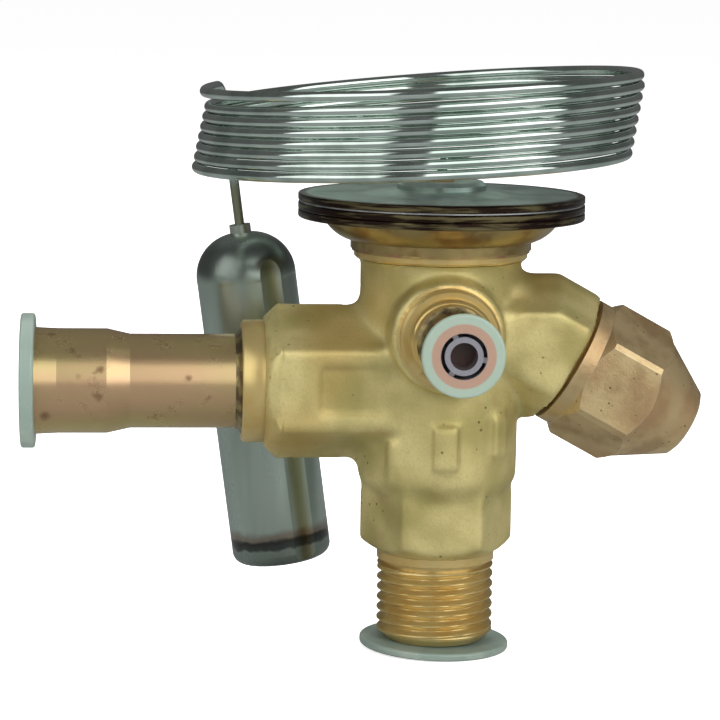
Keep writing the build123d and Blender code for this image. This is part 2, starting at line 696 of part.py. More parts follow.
def spring_seat():
    """Coned seat that the spindle tip lifts against the spring."""
    slope = math.tan(TILT)
    contact_r = TIP_FROM_AXIS * math.cos(TILT)
    contact_z = SPINDLE_Z - TIP_FROM_AXIS * math.sin(TILT)
    low_r = contact_r + (SEAT_BOTTOM - contact_z) * slope
    high_r = contact_r + (SEAT_CONE_TOP - contact_z) * slope
    pilot_top = SPRING_BOTTOM + SEAT_PILOT_T
    seat = turned([
        (0, SEAT_BOTTOM), (low_r, SEAT_BOTTOM), (high_r, SEAT_CONE_TOP),
        (high_r, SPRING_BOTTOM), (SEAT_PILOT_R, SPRING_BOTTOM), (SEAT_PILOT_R, pilot_top),
        (0, pilot_top),
    ])
    seat -= disc(SEAT_RECESS_R, SEAT_BOTTOM, SEAT_BOTTOM + SEAT_RECESS_DEPTH)
    return seat - disc(SEAT_BORE_R, SEAT_BOTTOM, pilot_top)


def superheat_spring():
    """Compression spring that sets the superheat."""
    return coil_spring(SPRING_R, SPRING_WIRE_R, SPRING_TURNS, SPRING_BOTTOM, SPRING_TOP)


# -------------------------------------------------------- setting mechanism
def setting_spindle():
    """Threaded spindle with a bearing tip, a grooved piston and a square drive."""
    groove_end = GROOVE_START + GROOVE_WIDTH
    drive_end = SPINDLE_THREAD_END + SPINDLE_DRIVE_LENGTH
    tip = TIP_FROM_AXIS + STOP_GAP
    spindle = turned([
        (0, tip), (TIP_R, tip), (TIP_R, PISTON_START), (PISTON_R, PISTON_START),
        (PISTON_R, GROOVE_START), (GROOVE_R, GROOVE_START), (GROOVE_R, groove_end),
        (PISTON_R, groove_end), (PISTON_R, PISTON_END), (SPINDLE_THREAD_R, PISTON_END),
        (SPINDLE_THREAD_R, SPINDLE_THREAD_END), (0, SPINDLE_THREAD_END),
    ])
    square = Pos(0, 0, SPINDLE_THREAD_END) * extrude(
        Rectangle(SPINDLE_DRIVE_AF, SPINDLE_DRIVE_AF), SPINDLE_DRIVE_LENGTH
    )
    turned_down = disc(SPINDLE_THREAD_R - STOP_GAP, SPINDLE_THREAD_END, drive_end)
    return placed(SPINDLE_PLANE, spindle + (square & turned_down))


def spindle_o_ring():
    """Seal that rides in the piston's groove."""
    middle = GROOVE_START + GROOVE_WIDTH / 2
    major = GROOVE_R + STOP_GAP + O_RING_SECTION / 2
    return placed(SPINDLE_PLANE, Pos(0, 0, middle) * Torus(major, O_RING_SECTION / 2))


def gland_nut():
    """Slotted gland that guides the spindle thread and stops the piston."""
    end = GLAND_SEAT + GLAND_LENGTH
    nut = ring(GLAND_BORE_R - THREAD_GAP, SPINDLE_THREAD_R + RUN_GAP, GLAND_SEAT, end)
    slot = Pos(0, 0, end) * Box(
        2 * GLAND_BORE_R, GLAND_SLOT_WIDTH, GLAND_SLOT_DEPTH,
        align=(Align.CENTER, Align.CENTER, Align.MAX),
    )
    return placed(SPINDLE_PLANE, nut - slot)


def seal_cap():
    """Domed hexagon cap screwed on the nipple."""
    corner = hex_corner(CAP_HEX_AF)
    shoulder = CAP_START + CAP_COLLAR_T
    slope = math.tan(math.radians(CAP_CHAMFER))
    cone = CAP_START + CAP_CONE_START
    end = CAP_START + CAP_LENGTH
    outside = turned([
        (0, CAP_START), (CAP_COLLAR_R, CAP_START), (CAP_COLLAR_R, shoulder),
        (corner, shoulder + (corner - CAP_COLLAR_R) * slope),
        (corner, cone - (corner - CAP_CONE_START_R) * slope), (CAP_CONE_START_R, cone),
        (CAP_TIP_R, end - CAP_TIP_EDGE / 2), (CAP_TIP_R - CAP_TIP_EDGE, end), (0, end),
    ])
    outline = RegularPolygon(corner, 6, rotation=90)
    outline = chamfer(outline.vertices(), CAP_HEX_EDGE)
    bar = disc(CAP_COLLAR_R, CAP_START, shoulder)
    bar += Pos(0, 0, shoulder) * extrude(outline, end - shoulder)
    bore_end = CAP_START + CAP_BORE_LENGTH
    cavity_end = bore_end + CAP_CAVITY_LENGTH
    inside = disc(NIPPLE_R + RUN_GAP, CAP_START, bore_end)
    inside += turned([
        (0, bore_end), (CAP_CAVITY_R, bore_end), (CAP_CAVITY_R, cavity_end),
        (0, cavity_end + CAP_CAVITY_CONE),
    ])
    return placed(SPINDLE_PLANE, (outside & bar) - inside)


def cap_gasket():
    """Flat gasket between the nipple and the cap."""
    start = NIPPLE_END + STOP_GAP
    outer = NIPPLE_R + RUN_GAP - GASKET_GAP
    return placed(SPINDLE_PLANE, ring(outer, GASKET_BORE_R, start, start + GASKET_T))


# -------------------------------------------------------- orifice cartridge
def orifice_housing():
    """Cartridge body with the metering orifice."""
    housing = disc(INLET_BORE_R - CARTRIDGE_GAP, HOUSING_BOTTOM, INLET_BORE_TOP)
    housing += disc(HOUSING_NOSE_R, HOUSING_BOTTOM, HOUSING_NOSE_TOP)
    housing -= disc(CONE_CHAMBER_R, HOUSING_BOTTOM, ORIFICE_BOTTOM)
    housing -= disc(ORIFICE_R, ORIFICE_BOTTOM, HOUSING_NOSE_TOP)
    return housing - disc(THROAT_R, ORIFICE_BOTTOM + ORIFICE_LENGTH, HOUSING_NOSE_TOP)


def valve_cone():
    """Cone that throttles the orifice, with a pilot for its spring."""
    return turned([
        (0, CONE_TOP), (CONE_TIP_R, CONE_TOP), (CONE_R, CONE_SKIRT_TOP),
        (CONE_R, CONE_SPRING_TOP), (CONE_PILOT_R, CONE_SPRING_TOP),
        (CONE_PILOT_R, CONE_SPRING_TOP - CONE_PILOT_T), (0, CONE_SPRING_TOP - CONE_PILOT_T),
    ])


def cone_spring():
    """Light spring that keeps the cone against the pin."""
    return coil_spring(
        CONE_SPRING_R, CONE_SPRING_WIRE_R, CONE_SPRING_TURNS, CUP_TOP, CONE_SPRING_TOP
    )


def spring_cup():
    """Pierced disc pressed into the cartridge below the cone spring."""
    cup = disc(CONE_CHAMBER_R, CUP_TOP - CUP_T, CUP_TOP)
    for place in PolarLocations(CUP_HOLE_PITCH_R, CUP_HOLE_COUNT):
        cup -= place * disc(CUP_HOLE_R, CUP_TOP - CUP_T, CUP_TOP)
    return cup


def strainer_ring():
    """Ring that holds the strainer against the cartridge."""
    return ring(INLET_BORE_R - CARTRIDGE_GAP, STRAINER_R, RING_SEAT, HOUSING_BOTTOM)


def strainer_screen():
    """Fine conical screen, drawn as a thin closed cup."""
    tip = RING_SEAT - STRAINER_LENGTH + STRAINER_RING_T
    inner = STRAINER_R - STRAINER_WALL
    inner_tip = STRAINER_TIP_R - STRAINER_WALL
    return turned([
        (STRAINER_R, HOUSING_BOTTOM), (STRAINER_R, RING_SEAT), (STRAINER_TIP_R, tip), (0, tip),
        (0, tip + STRAINER_WALL), (inner_tip, tip + STRAINER_WALL), (inner, RING_SEAT),
        (inner, HOUSING_BOTTOM),
    ])


# -------------------------------------------------------------- copper tubes
def outlet_tube():
    """Outlet tube with its drawn taper and the belled socket."""
    bell = SOCKET_BELL_R - SOCKET_BORE_R
    tube = turned([
        (TUBE_R, TUBE_START), (TUBE_R, TAPER_START), (SOCKET_R, SOCKET_START),
        (SOCKET_R, BELL_START), (SOCKET_R + bell, TUBE_END), (SOCKET_BELL_R, TUBE_END),
        (SOCKET_BORE_R, BELL_START), (SOCKET_BORE_R, SOCKET_START),
        (TUBE_R - TUBE_WALL, TAPER_START), (TUBE_R - TUBE_WALL, TUBE_START),
    ])
    return placed(OUTLET_PLANE, tube)


def equaliser_tube():
    """Equaliser tube, slightly belled at its open end."""
    bell = EQ_BELL_R - EQ_BORE_R
    bell_start = EQ_TUBE_END - EQ_BELL_LENGTH
    tube = turned([
        (EQ_TUBE_R, EQ_TUBE_START), (EQ_TUBE_R, bell_start), (EQ_TUBE_R + bell, EQ_TUBE_END),
        (EQ_BELL_R, EQ_TUBE_END), (EQ_BORE_R, bell_start), (EQ_BORE_R, EQ_TUBE_START),
    ])
    return placed(EQUALISER_PLANE, tube)


def braze_fillet(radius, start):
    """Concave bead of braze around a tube where it leaves a turned face."""
    foot = (radius + BRAZE_BEAD, start)
    toe = (radius, start + BRAZE_BEAD)
    outline = section_line([toe, (radius, start), foot])
    outline += section_arc(foot, toe, BRAZE_BEAD * BRAZE_HOLLOW)
    return revolve(make_face(outline), Axis.Z)


def outlet_braze():
    """Braze bead at the outlet tube."""
    return placed(OUTLET_PLANE, braze_fillet(TUBE_R, COLLAR_END))


def equaliser_braze():
    """Braze bead at the equaliser tube."""
    return placed(EQUALISER_PLANE, braze_fillet(EQ_TUBE_R, EQ_BOSS_END))


# ----------------------------------------------------------- transport plugs
def outlet_plug():
    """Soft cup plug in the outlet socket, open outwards."""
    insert_r = SOCKET_BORE_R - PLUG_GAP
    inner = TUBE_END - OUTLET_PLUG_INSERT
    outer = TUBE_END + OUTLET_PLUG_T
    flange = disc(OUTLET_PLUG_R, TUBE_END, outer)
    flange = fillet(flange.edges().filter_by(GeomType.CIRCLE), PLUG_EDGE)
    plug = flange + disc(insert_r, inner, TUBE_END)
    return placed(OUTLET_PLANE, plug - disc(insert_r - PLUG_WALL, inner + PLUG_FLOOR, outer))


def inlet_plug():
    """Soft plug in the inlet with its disc bent slightly out of square."""
    insert_r = INLET_BORE_R - PLUG_GAP
    top = INLET_PLUG_INSERT - NOSE_LENGTH
    touch = THREAD_R - NOSE_LENGTH
    flange = disc(INLET_PLUG_R, -INLET_PLUG_T, 0)
    flange = fillet(flange.edges().filter_by(GeomType.CIRCLE), PLUG_EDGE)
    flange = Pos(-touch, 0, -NOSE_LENGTH) * Rot(0, INLET_PLUG_TILT, 0) * Pos(touch, 0, 0) * flange
    below = NOSE_LENGTH + INLET_PLUG_T / 2
    insert = disc(insert_r, -below, top)
    hollow = disc(insert_r - PLUG_WALL, -below - INLET_PLUG_T, top - PLUG_FLOOR)
    return flange + insert - hollow


def equaliser_plug():
    """Soft plug in the equaliser tube with a webbed slot around a hollow core."""
    outer = EQ_TUBE_END + EQ_PLUG_T
    inner = EQ_TUBE_END - EQ_PLUG_INSERT
    floor = inner + EQ_PLUG_FLOOR
    flange = disc(EQ_PLUG_R, EQ_TUBE_END, outer)
    flange = fillet(flange.edges().filter_by(GeomType.CIRCLE), PLUG_EDGE)
    plug = flange + disc(EQ_BORE_R - PLUG_GAP, inner, EQ_TUBE_END)
    slot = ring(EQ_PLUG_SLEEVE_R + EQ_PLUG_SLOT, EQ_PLUG_SLEEVE_R, floor, outer)
    for angle in EQ_PLUG_WEBS:
        slot -= Rot(0, 0, angle) * Pos(0, 0, floor) * Box(
            EQ_PLUG_R, EQ_PLUG_WEB, outer - floor, align=(Align.MIN, Align.CENTER, Align.MIN)
        )
    return placed(EQUALISER_PLANE, plug - slot - disc(EQ_PLUG_HOLE_R, floor, outer))


# ----------------------------------------------------- capillary and the bulb
def sensing_bulb():
    """Closed bulb with a spun dome, weld neck, rolled foot and a strap channel."""
    shoulder = (BULB_R, -BULB_DOME)
    neck = (BULB_NECK_R, 0)
    foot = -BULB_LENGTH
    outline = section_line([(0, BULB_NECK_T), (BULB_NECK_R, BULB_NECK_T), neck])
    outline += section_arc(neck, shoulder, BULB_DOME_BULGE)
    outline += section_line([shoulder, (BULB_R, foot), (0, foot), (0, BULB_NECK_T)])
    bulb = revolve(make_face(outline), Axis.Z)
    bulb = fillet(bulb.edges().group_by(Axis.Z)[0], BULB_EDGE)
    bulb += disc(BULB_NIPPLE_R, foot - BULB_NIPPLE_T, foot + BULB_EDGE)
    middle = BULB_R + BULB_CHANNEL_R - BULB_CHANNEL_DEPTH
    channel = Pos(middle, 0, 0) * disc(BULB_CHANNEL_R, foot, 0)
    return BULB_PLACE * (bulb - Rot(0, 0, BULB_CHANNEL_ANGLE) * channel)


def bend(corner, before, after, radius):
    """Tangent points and arc that round a corner between two unit directions."""
    turn = before.get_angle(after)
    reach = radius * math.tan(math.radians(turn) / 2)
    start = corner - before * reach
    end = corner + after * reach
    inward = (after - before).normalized()
    depth = radius / math.cos(math.radians(turn) / 2) - radius
    return start, end, ThreePointArc(start, corner + inward * depth, end)


def riser():
    """Capillary from the bulb up to the start of the coil."""
    up = Vector(-math.sin(BULB_LEAN_RAD), 0, math.cos(BULB_LEAN_RAD))
    first = Vector(COIL_FIRST_LEFT[0], 0, COIL_FIRST_LEFT[1])
    start = (BULB_PLACE * Pos(0, 0, BULB_NECK_T)).position
    corner = start + up * ((first.Z - start.Z) / up.Z)
    aside = first + Vector(0, RISER_SWEEP_REACH, 0)
    along = Vector(0, -1, 0)
    ahead = (aside - corner).normalized()
    half = math.radians(ahead.get_angle(along)) / 2
    below, beyond, corner_arc = bend(corner, up, ahead, RISER_BEND_R)
    joined, _, sweep_arc = bend(aside, ahead, along, RISER_SWEEP_REACH / math.tan(half))
    return [Line(start, below), corner_arc, Line(beyond, joined), sweep_arc]


def coil_edges():
    """Wound turns of the capillary, near halves to -Y and far halves to +Y."""
    lefts = [COIL_FIRST_LEFT]
    rights = [COIL_FIRST_RIGHT]
    for turn in range(COIL_TURNS - 1):
        lefts.append([COIL_LEFT[axis] + turn * COIL_LEFT_STEP[axis] for axis in range(2)])
        rights.append([COIL_RIGHT[axis] + turn * COIL_RIGHT_STEP[axis] for axis in range(2)])
    edges = []
    for turn in range(COIL_TURNS):
        left = Vector(lefts[turn][0], 0, lefts[turn][1])
        right = Vector(rights[turn][0], 0, rights[turn][1])
        edges.append(half_turn(left, right, (0, -1, 0)))
        if turn + 1 < COIL_TURNS:
            after = Vector(lefts[turn + 1][0], 0, lefts[turn + 1][1])
            edges.append(half_turn(right, after, (0, 1, 0)))
    return edges


def lead_in(start):
    """Curl from the last turn to the element's axis and down into its boss."""
    over = Vector(0, 0, BOSS_TOP + CAPILLARY_COLLAR_T + STEM_RISE)
    inward = (over - start).normalized()
    reach = (over - start).length
    far = reach - INNER_LOOP_R
    turn = math.acos(-INNER_LOOP_R / far)
    centre = start + inward * INNER_LOOP_R
    across = Vector(0, 1, 0)

    def around(angle):
        return centre + (across * math.sin(angle) - inward * math.cos(angle)) * INNER_LOOP_R
    leave = around(turn)
    ahead = (over - leave).normalized()
    down = Vector(0, 0, -1)
    above, below, corner_arc = bend(over, ahead, down, STEM_BEND_R)
    foot = Vector(0, 0, BOSS_TOP - BOSS_WALL)
    return [ThreePointArc(start, around(turn / 2), leave), Line(leave, above), corner_arc,
            Line(below, foot)]


def capillary_tube():
    """Whole capillary from the bulb to the element, one drawn tube."""
    turns = coil_edges()
    return pipe(riser() + turns + lead_in(turns[-1] @ 1), CAPILLARY_R)


NODES = (
    valve_body, element_base, element_braze, diaphragm_ring, diaphragm, element_cover,
    capillary_collar, capillary_tube, sensing_bulb, thrust_pad, push_pin, pin_guide,
    spring_seat, superheat_spring, setting_spindle, spindle_o_ring, gland_nut, seal_cap,
    cap_gasket, orifice_housing, valve_cone, cone_spring, spring_cup, strainer_ring,
    strainer_screen, outlet_tube, outlet_braze, equaliser_tube, equaliser_braze,
    outlet_plug, inlet_plug, equaliser_plug,
)

if __name__ == "__main__":
    os.makedirs("parts", exist_ok=True)
    for make in NODES:
        export_step(make(), "parts/" + make.__name__ + ".step")
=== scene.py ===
"""Thermostatic expansion valve: finishes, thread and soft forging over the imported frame."""

import logging
import math
from dataclasses import dataclass
from enum import Enum
from typing import Any, Optional, Sequence, Union

import bmesh
import bpy
import numpy as np
from mathutils import Matrix, Vector


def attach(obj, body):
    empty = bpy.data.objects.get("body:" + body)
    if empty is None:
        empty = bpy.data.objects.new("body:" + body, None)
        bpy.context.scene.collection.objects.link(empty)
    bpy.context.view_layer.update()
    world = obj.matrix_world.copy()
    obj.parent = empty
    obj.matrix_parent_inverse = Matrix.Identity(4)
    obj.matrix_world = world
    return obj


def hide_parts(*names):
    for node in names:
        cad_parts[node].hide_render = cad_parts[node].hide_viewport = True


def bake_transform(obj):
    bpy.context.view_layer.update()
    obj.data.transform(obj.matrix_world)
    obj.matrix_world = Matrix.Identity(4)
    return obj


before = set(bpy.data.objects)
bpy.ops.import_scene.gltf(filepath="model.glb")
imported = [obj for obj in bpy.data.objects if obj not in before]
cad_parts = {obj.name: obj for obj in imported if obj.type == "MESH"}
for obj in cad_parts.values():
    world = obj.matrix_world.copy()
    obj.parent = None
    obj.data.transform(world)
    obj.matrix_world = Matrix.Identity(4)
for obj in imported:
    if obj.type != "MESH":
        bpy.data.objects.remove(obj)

logging.basicConfig(level=logging.INFO, format="%(message)s")
log = logging.getLogger("valve")

Colour = tuple[float, float, float]
Point = tuple[float, float, float]
Band = tuple[float, float, float, float]
Number = Union[float, "Field"]

MM = 0.001
TILT = math.radians(29.0)
SPINDLE_ORIGIN: Point = (0.0, 0.0, 0.04715)
SPINDLE_AXIS: Point = (math.cos(TILT), 0.0, -math.sin(TILT))
WELD = 2e-6  # metres; a CAD mesh's corners closer than this are one corner
FLAT = math.radians(0.6)  # faces that turn by less than this are one flat face
CUT_SLACK = 1e-8  # metres; corners this near a cutting plane lie on it
ANGLE_DIGITS = 6  # digits of a radian at which two corners of a ring share one angle


class Body(Enum):
    """Bodies of the frame; new pieces ride on the valve and the cap."""

    VALVE = "valve"
    CAP = "cap"
    STROKE = "stroke"
    SEAT = "seat"


class Axis(Enum):
    """Main directions of turned features, as unit vectors."""

    INLET = (0.0, 0.0, 1.0)
    OUTLET = (-1.0, 0.0, 0.0)
    EQUALISER = (0.0, -1.0, 0.0)
    SPINDLE = SPINDLE_AXIS


def srgb(red: int, green: int, blue: int) -> Colour:
    """Turn screen values into a linear colour by the standard screen curve.

    Args:
        red: Red from 0 to 255.
        green: Green from 0 to 255.
        blue: Blue from 0 to 255.

    Returns:
        The linear colour, each channel from 0 to 1.
    """
    def linear(value: int) -> float:
        """One channel from screen to linear."""
        share = value / 255.0
        return share / 12.92 if share <= 0.04045 else ((share + 0.055) / 1.055) ** 2.4
    return linear(red), linear(green), linear(blue)


# ------------------------------------------------------------------ shader maths
@dataclass(frozen=True)
class Patches:
    """Soft patches cut out of a cloudy noise.

    Attributes:
        size: Rough width of one patch, in millimetres.
        detail: Number of finer layers of the noise.
        low: Value of the noise where a patch begins.
        high: Value of the noise where a patch is full.
        cover: Share of what lies below that a full patch hides.
        rough: Strength of the finer layers.
        stretch: Factors on the coordinates; under 1 draws the patches out.
    """

    size: float
    detail: float
    low: float
    high: float
    cover: float = 1.0
    rough: float = 0.55
    stretch: Point = (1.0, 1.0, 1.0)


@dataclass(frozen=True)
class Pits:
    """Small round pits that lie together in patches.

    Attributes:
        spacing: Rough distance from pit to pit, in millimetres.
        rim: Share of that distance at which a pit begins.
        core: Share of that distance inside which it is full.
        where: Patches of the surface that hold pits.
        cover: Share of what lies below that a full pit hides.
    """

    spacing: float
    rim: float
    core: float
    where: Patches
    cover: float


class Field:
    """A number that varies over a surface, held as a shader socket."""

    def __init__(self, graph: "Graph", socket: bpy.types.NodeSocket) -> None:
        """Keep the graph and the socket that carries the number."""
        self.graph = graph
        self.socket = socket

    def _math(self, operation: str, *values: Any) -> "Field":
        """Field from one Math node over the values."""
        return self.graph.math(operation, *values)

    def __add__(self, other: Number) -> "Field":
        """Sum of two values."""
        return self._math("ADD", self, other)

    __radd__ = __add__

    def __sub__(self, other: Number) -> "Field":
        """Difference of two values."""
        return self._math("SUBTRACT", self, other)

    def __rsub__(self, other: Number) -> "Field":
        """Reflected difference of two values."""
        return self._math("SUBTRACT", other, self)

    def __mul__(self, other: Number) -> "Field":
        """Product of two values."""
        return self._math("MULTIPLY", self, other)

    __rmul__ = __mul__

    def __gt__(self, other: Number) -> "Field":
        """One where this value is the larger one."""
        return self._math("GREATER_THAN", self, other)

    def __lt__(self, other: Number) -> "Field":
        """One where this value is the smaller one."""
        return self._math("LESS_THAN", self, other)

    def either(self, other: Number) -> "Field":
        """Larger of two values."""
        return self._math("MAXIMUM", self, other)

    def both(self, other: Number) -> "Field":
        """Smaller of two values."""
        return self._math("MINIMUM", self, other)

    def ramp(self, low: float, high: float) -> "Field":
        """Smooth step from 0 at low to 1 at high.

        Args:
            low: Value that gives 0.
            high: Value that gives 1; it may be the lower of the two.

        Returns:
            The smoothed share between 0 and 1.
        """
        if low > high:
            return 1 - self.ramp(high, low)
        node = self.graph.node(
            "ShaderNodeMapRange",
            {"interpolation_type": "SMOOTHSTEP"},
            {"Value": self, "From Min": low, "From Max": high},
        )
        return Field(self.graph, node.outputs["Result"])

    def band(self, start: float, full: float, fades: float, gone: float) -> "Field":
        """Smooth band of 1 with 0 on both sides.

        Args:
            start: Value where the band begins.
            full: Value where it reaches 1.
            fades: Value where it starts to fall.
            gone: Value where it is back at 0.

        Returns:
            The band as a field between 0 and 1.
        """
        return self.ramp(start, full) * self.ramp(gone, fades)


class Graph:
    """Node tree of one material, with one method for any node."""

    coordinates = "Object"

    def __init__(self, name: str) -> None:
        """Start an empty tree.

        Args:
            name: Name of the data block that carries it.
        """
        self.material = self.owner(name)
        self.material.use_nodes = True
        self.tree = self.material.node_tree
        self.tree.nodes.clear()
        self.place = self.node("ShaderNodeTexCoord").outputs[self.coordinates]

    def owner(self, name: str) -> bpy.types.ID:
        """Data block that carries the tree."""
        return bpy.data.materials.new(name)

    def node(
        self, kind: str, settings: Optional[dict] = None, inputs: Optional[dict] = None
    ) -> bpy.types.Node:
        """Add one node.

        Args:
            kind: Blender's node type.
            settings: Properties that are set first.
            inputs: Values, colours, sockets or fields by socket name or number.

        Returns:
            The new node.
        """
        made = self.tree.nodes.new(kind)
        for key, value in (settings or {}).items():
            setattr(made, key, value)
        for key, value in (inputs or {}).items():
            self._feed(made.inputs[key], value)
        return made

    def _feed(self, socket: bpy.types.NodeSocket, value: Any) -> None:
        """Link or set one input.

        Args:
            socket: The input socket.
            value: Number, colour, vector, socket or field that it takes.
        """
        if isinstance(value, Field):
            value = value.socket
        if isinstance(value, bpy.types.NodeSocket):
            self.tree.links.new(value, socket)
        elif socket.type == "RGBA" and len(value) == 3:
            socket.default_value = (*value, 1.0)
        else:
            socket.default_value = value

    def math(self, operation: str, *values: Any) -> Field:
        """Add one Math node.

        Args:
            operation: Blender's name of the operation.
            *values: Numbers or fields that it takes, in order.

        Returns:
            The result as a field.
        """
        feeds = dict(enumerate(values))
        node = self.node("ShaderNodeMath", {"operation": operation}, feeds)
        return Field(self, node.outputs[0])

    def _measured(self, operation: str, other: Sequence[float]) -> Field:
        """Number from one Vector Math node over the coordinates.

        Args:
            operation: Blender's name of the operation.
            other: The second vector.

        Returns:
            The result as a field.
        """
        feeds = {0: self.place, 1: tuple(other)}
        node = self.node("ShaderNodeVectorMath", {"operation": operation}, feeds)
        return Field(self, node.outputs["Value"])

    def along(self, axis: Sequence[float], origin: Sequence[float] = (0, 0, 0)) -> Field:
        """Distance along a direction from an origin.

        Args:
            axis: Unit vector of the direction.
            origin: Point where the distance is 0, in metres.

        Returns:
            axis . (place - origin), in metres.
        """
        offset = sum(part * start for part, start in zip(axis, origin))
        return self._measured("DOT_PRODUCT", axis) - offset

    def distance(self, point: Sequence[float]) -> Field:
        """Distance from a point, in metres."""
        return self._measured("DISTANCE", point)

    def off_axis(self, axis: Axis, origin: Sequence[float] = (0, 0, 0)) -> Field:
        """Distance from the axis of a turned feature.

        Args:
            axis: Direction of the feature.
            origin: Any point on its axis, in metres.

        Returns:
            Root of reach squared less height squared, in metres.
        """
        along = self.along(axis.value, origin)
        reach = self.distance(origin)
        return self.math("SQRT", (reach * reach - along * along).either(0.0))

    def noise(
        self, size: float, detail: float = 3.0, rough: float = 0.55,
        stretch: Point = (1.0, 1.0, 1.0),
    ) -> Field:
        """Cloudy noise between 0 and 1.

        Args:
            size: Rough width of one cloud, in millimetres.
            detail: Number of finer layers.
            rough: Strength of the finer layers.
            stretch: Factors on the coordinates; under 1 draws the clouds out.

        Returns:
            The noise as a field.
        """
        mapped = self.node("ShaderNodeMapping", None, {"Vector": self.place, "Scale": stretch})
        feeds = {
            "Vector": mapped.outputs[0], "Scale": 1 / (size * MM), "Detail": detail,
            "Roughness": rough,
        }
        return Field(self, self.node("ShaderNodeTexNoise", None, feeds).outputs[0])

    def swept_noise(self, size: float, detail: float = 3.0, turn: float = 0.0016) -> Field:
        """Noise that streaks around the inlet axis.

        Args:
            size: Rough width of one streak, in millimetres.
            detail: Number of finer layers.
            turn: Metres that one radian counts for; a small value makes long streaks.

        Returns:
            The noise as a field.
        """
        angle = self.math("ARCTAN2", self.along((0, 1, 0)), self.along((1, 0, 0)))
        swept = {0: self.off_axis(Axis.INLET), 1: angle * turn, 2: self.along((0, 0, 1))}
        vector = self.node("ShaderNodeCombineXYZ", None, swept)
        feeds = {"Vector": vector.outputs[0], "Scale": 1 / (size * MM), "Detail": detail}
        return Field(self, self.node("ShaderNodeTexNoise", None, feeds).outputs[0])

    def cells(self, size: float) -> Field:
        """Distance to the nearest of many scattered points, 0 at each point.

        Args:
            size: Rough distance from point to point, in millimetres.

        Returns:
            The distance as a share of that size.
        """
        feeds = {"Vector": self.place, "Scale": 1 / (size * MM)}
        return Field(self, self.node("ShaderNodeTexVoronoi", None, feeds).outputs["Distance"])

    def patches(self, kind: Patches) -> Field:
        """Soft patches, from 0 between them to their cover inside."""
        cloud = self.noise(kind.size, kind.detail, kind.rough, kind.stretch)
        return cloud.ramp(kind.low, kind.high) * kind.cover

    def pits(self, kind: Pits) -> Field:
        """Pits, from 0 between them to 1 at their bottoms."""
        return self.cells(kind.spacing).ramp(kind.rim, kind.core) * self.patches(kind.where)

    def blend(self, share: Number, low: Any, high: Any) -> bpy.types.NodeSocket:
        """Mix two colours.

        Args:
            share: 0 for the low colour and 1 for the high one.
            low: Colour, or the socket of one.
            high: Colour, or the socket of one.

        Returns:
            The socket of the mixed colour.
        """
        feeds = {"Factor": share, 6: low, 7: high}
        return self.node("ShaderNodeMix", {"data_type": "RGBA"}, feeds).outputs[2]

    def bump(self, height: Field, depth: float) -> bpy.types.NodeSocket:
        """Turn a height into a normal.

        Args:
            height: Height of the surface, about 0 to 1.
            depth: What a height of 1 measures, in millimetres.

        Returns:
            The socket of the normal.
        """
        feeds = {"Height": height, "Distance": depth * MM, "Strength": 1.0}
        return self.node("ShaderNodeBump", None, feeds).outputs[0]

    def close(self, output: str, shader: bpy.types.Node) -> bpy.types.ID:
        """Link a shader to a new output node.

        Args:
            output: Blender's node type of the output.
            shader: Node whose first output is the shader.

        Returns:
            The data block that carries the tree.
        """
        end = self.node(output)
        self.tree.links.new(shader.outputs[0], end.inputs["Surface"])
        return self.material

    def surface(self, **inputs: Any) -> bpy.types.Material:
        """Close the tree with one Principled shader.

        Args:
            **inputs: Values by socket name, with _ for each space.

        Returns:
            The finished material.
        """
        feeds = {key.replace("_", " "): value for key, value in inputs.items()}
        shader = self.node("ShaderNodeBsdfPrincipled", None, feeds)
        return self.close("ShaderNodeOutputMaterial", shader)


class SkyGraph(Graph):
    """Node tree of the world, whose coordinates are directions."""

    coordinates = "Generated"

    def owner(self, name: str) -> bpy.types.ID:
        """World that carries the tree."""
        return bpy.data.worlds.new(name)


# ---------------------------------------------------------------------- finishes
@dataclass(frozen=True)
class TurnedEnds:
    """Where the forging was turned.

    Attributes:
        inlet_to: Height where the turned inlet end stops, in metres.
        top_from: Height where the turned top begins.
        outlet_from: Distance along the outlet's axis where its turned end begins.
        equaliser_from: The same for the equaliser.
        spindle_from: The same for the spindle.
        spindle_radius: Distance from the spindle's axis within which its end lies.
    """

    inlet_to: float = 0.0111
    top_from: float = 0.05101
    outlet_from: float = 0.02376
    equaliser_from: float = 0.01292
    spindle_from: float = 0.0199
    spindle_radius: float = 0.0085

    def mask(self, graph: Graph) -> Field:
        """Mark the turned surfaces.

        Args:
            graph: Tree that the mask is for.

        Returns:
            One on turned surfaces and zero on forged ones.
        """
        spindle = (graph.along(SPINDLE_AXIS, SPINDLE_ORIGIN) > self.spindle_from).both(
            graph.off_axis(Axis.SPINDLE, SPINDLE_ORIGIN) < self.spindle_radius)
        outlet = graph.along(Axis.OUTLET.value) > self.outlet_from
        equaliser = graph.along(Axis.EQUALISER.value) > self.equaliser_from
        height = graph.along(Axis.INLET.value)
        ends = (height < self.inlet_to).either(height > self.top_from)
        return spindle.either(outlet).either(equaliser).either(ends)


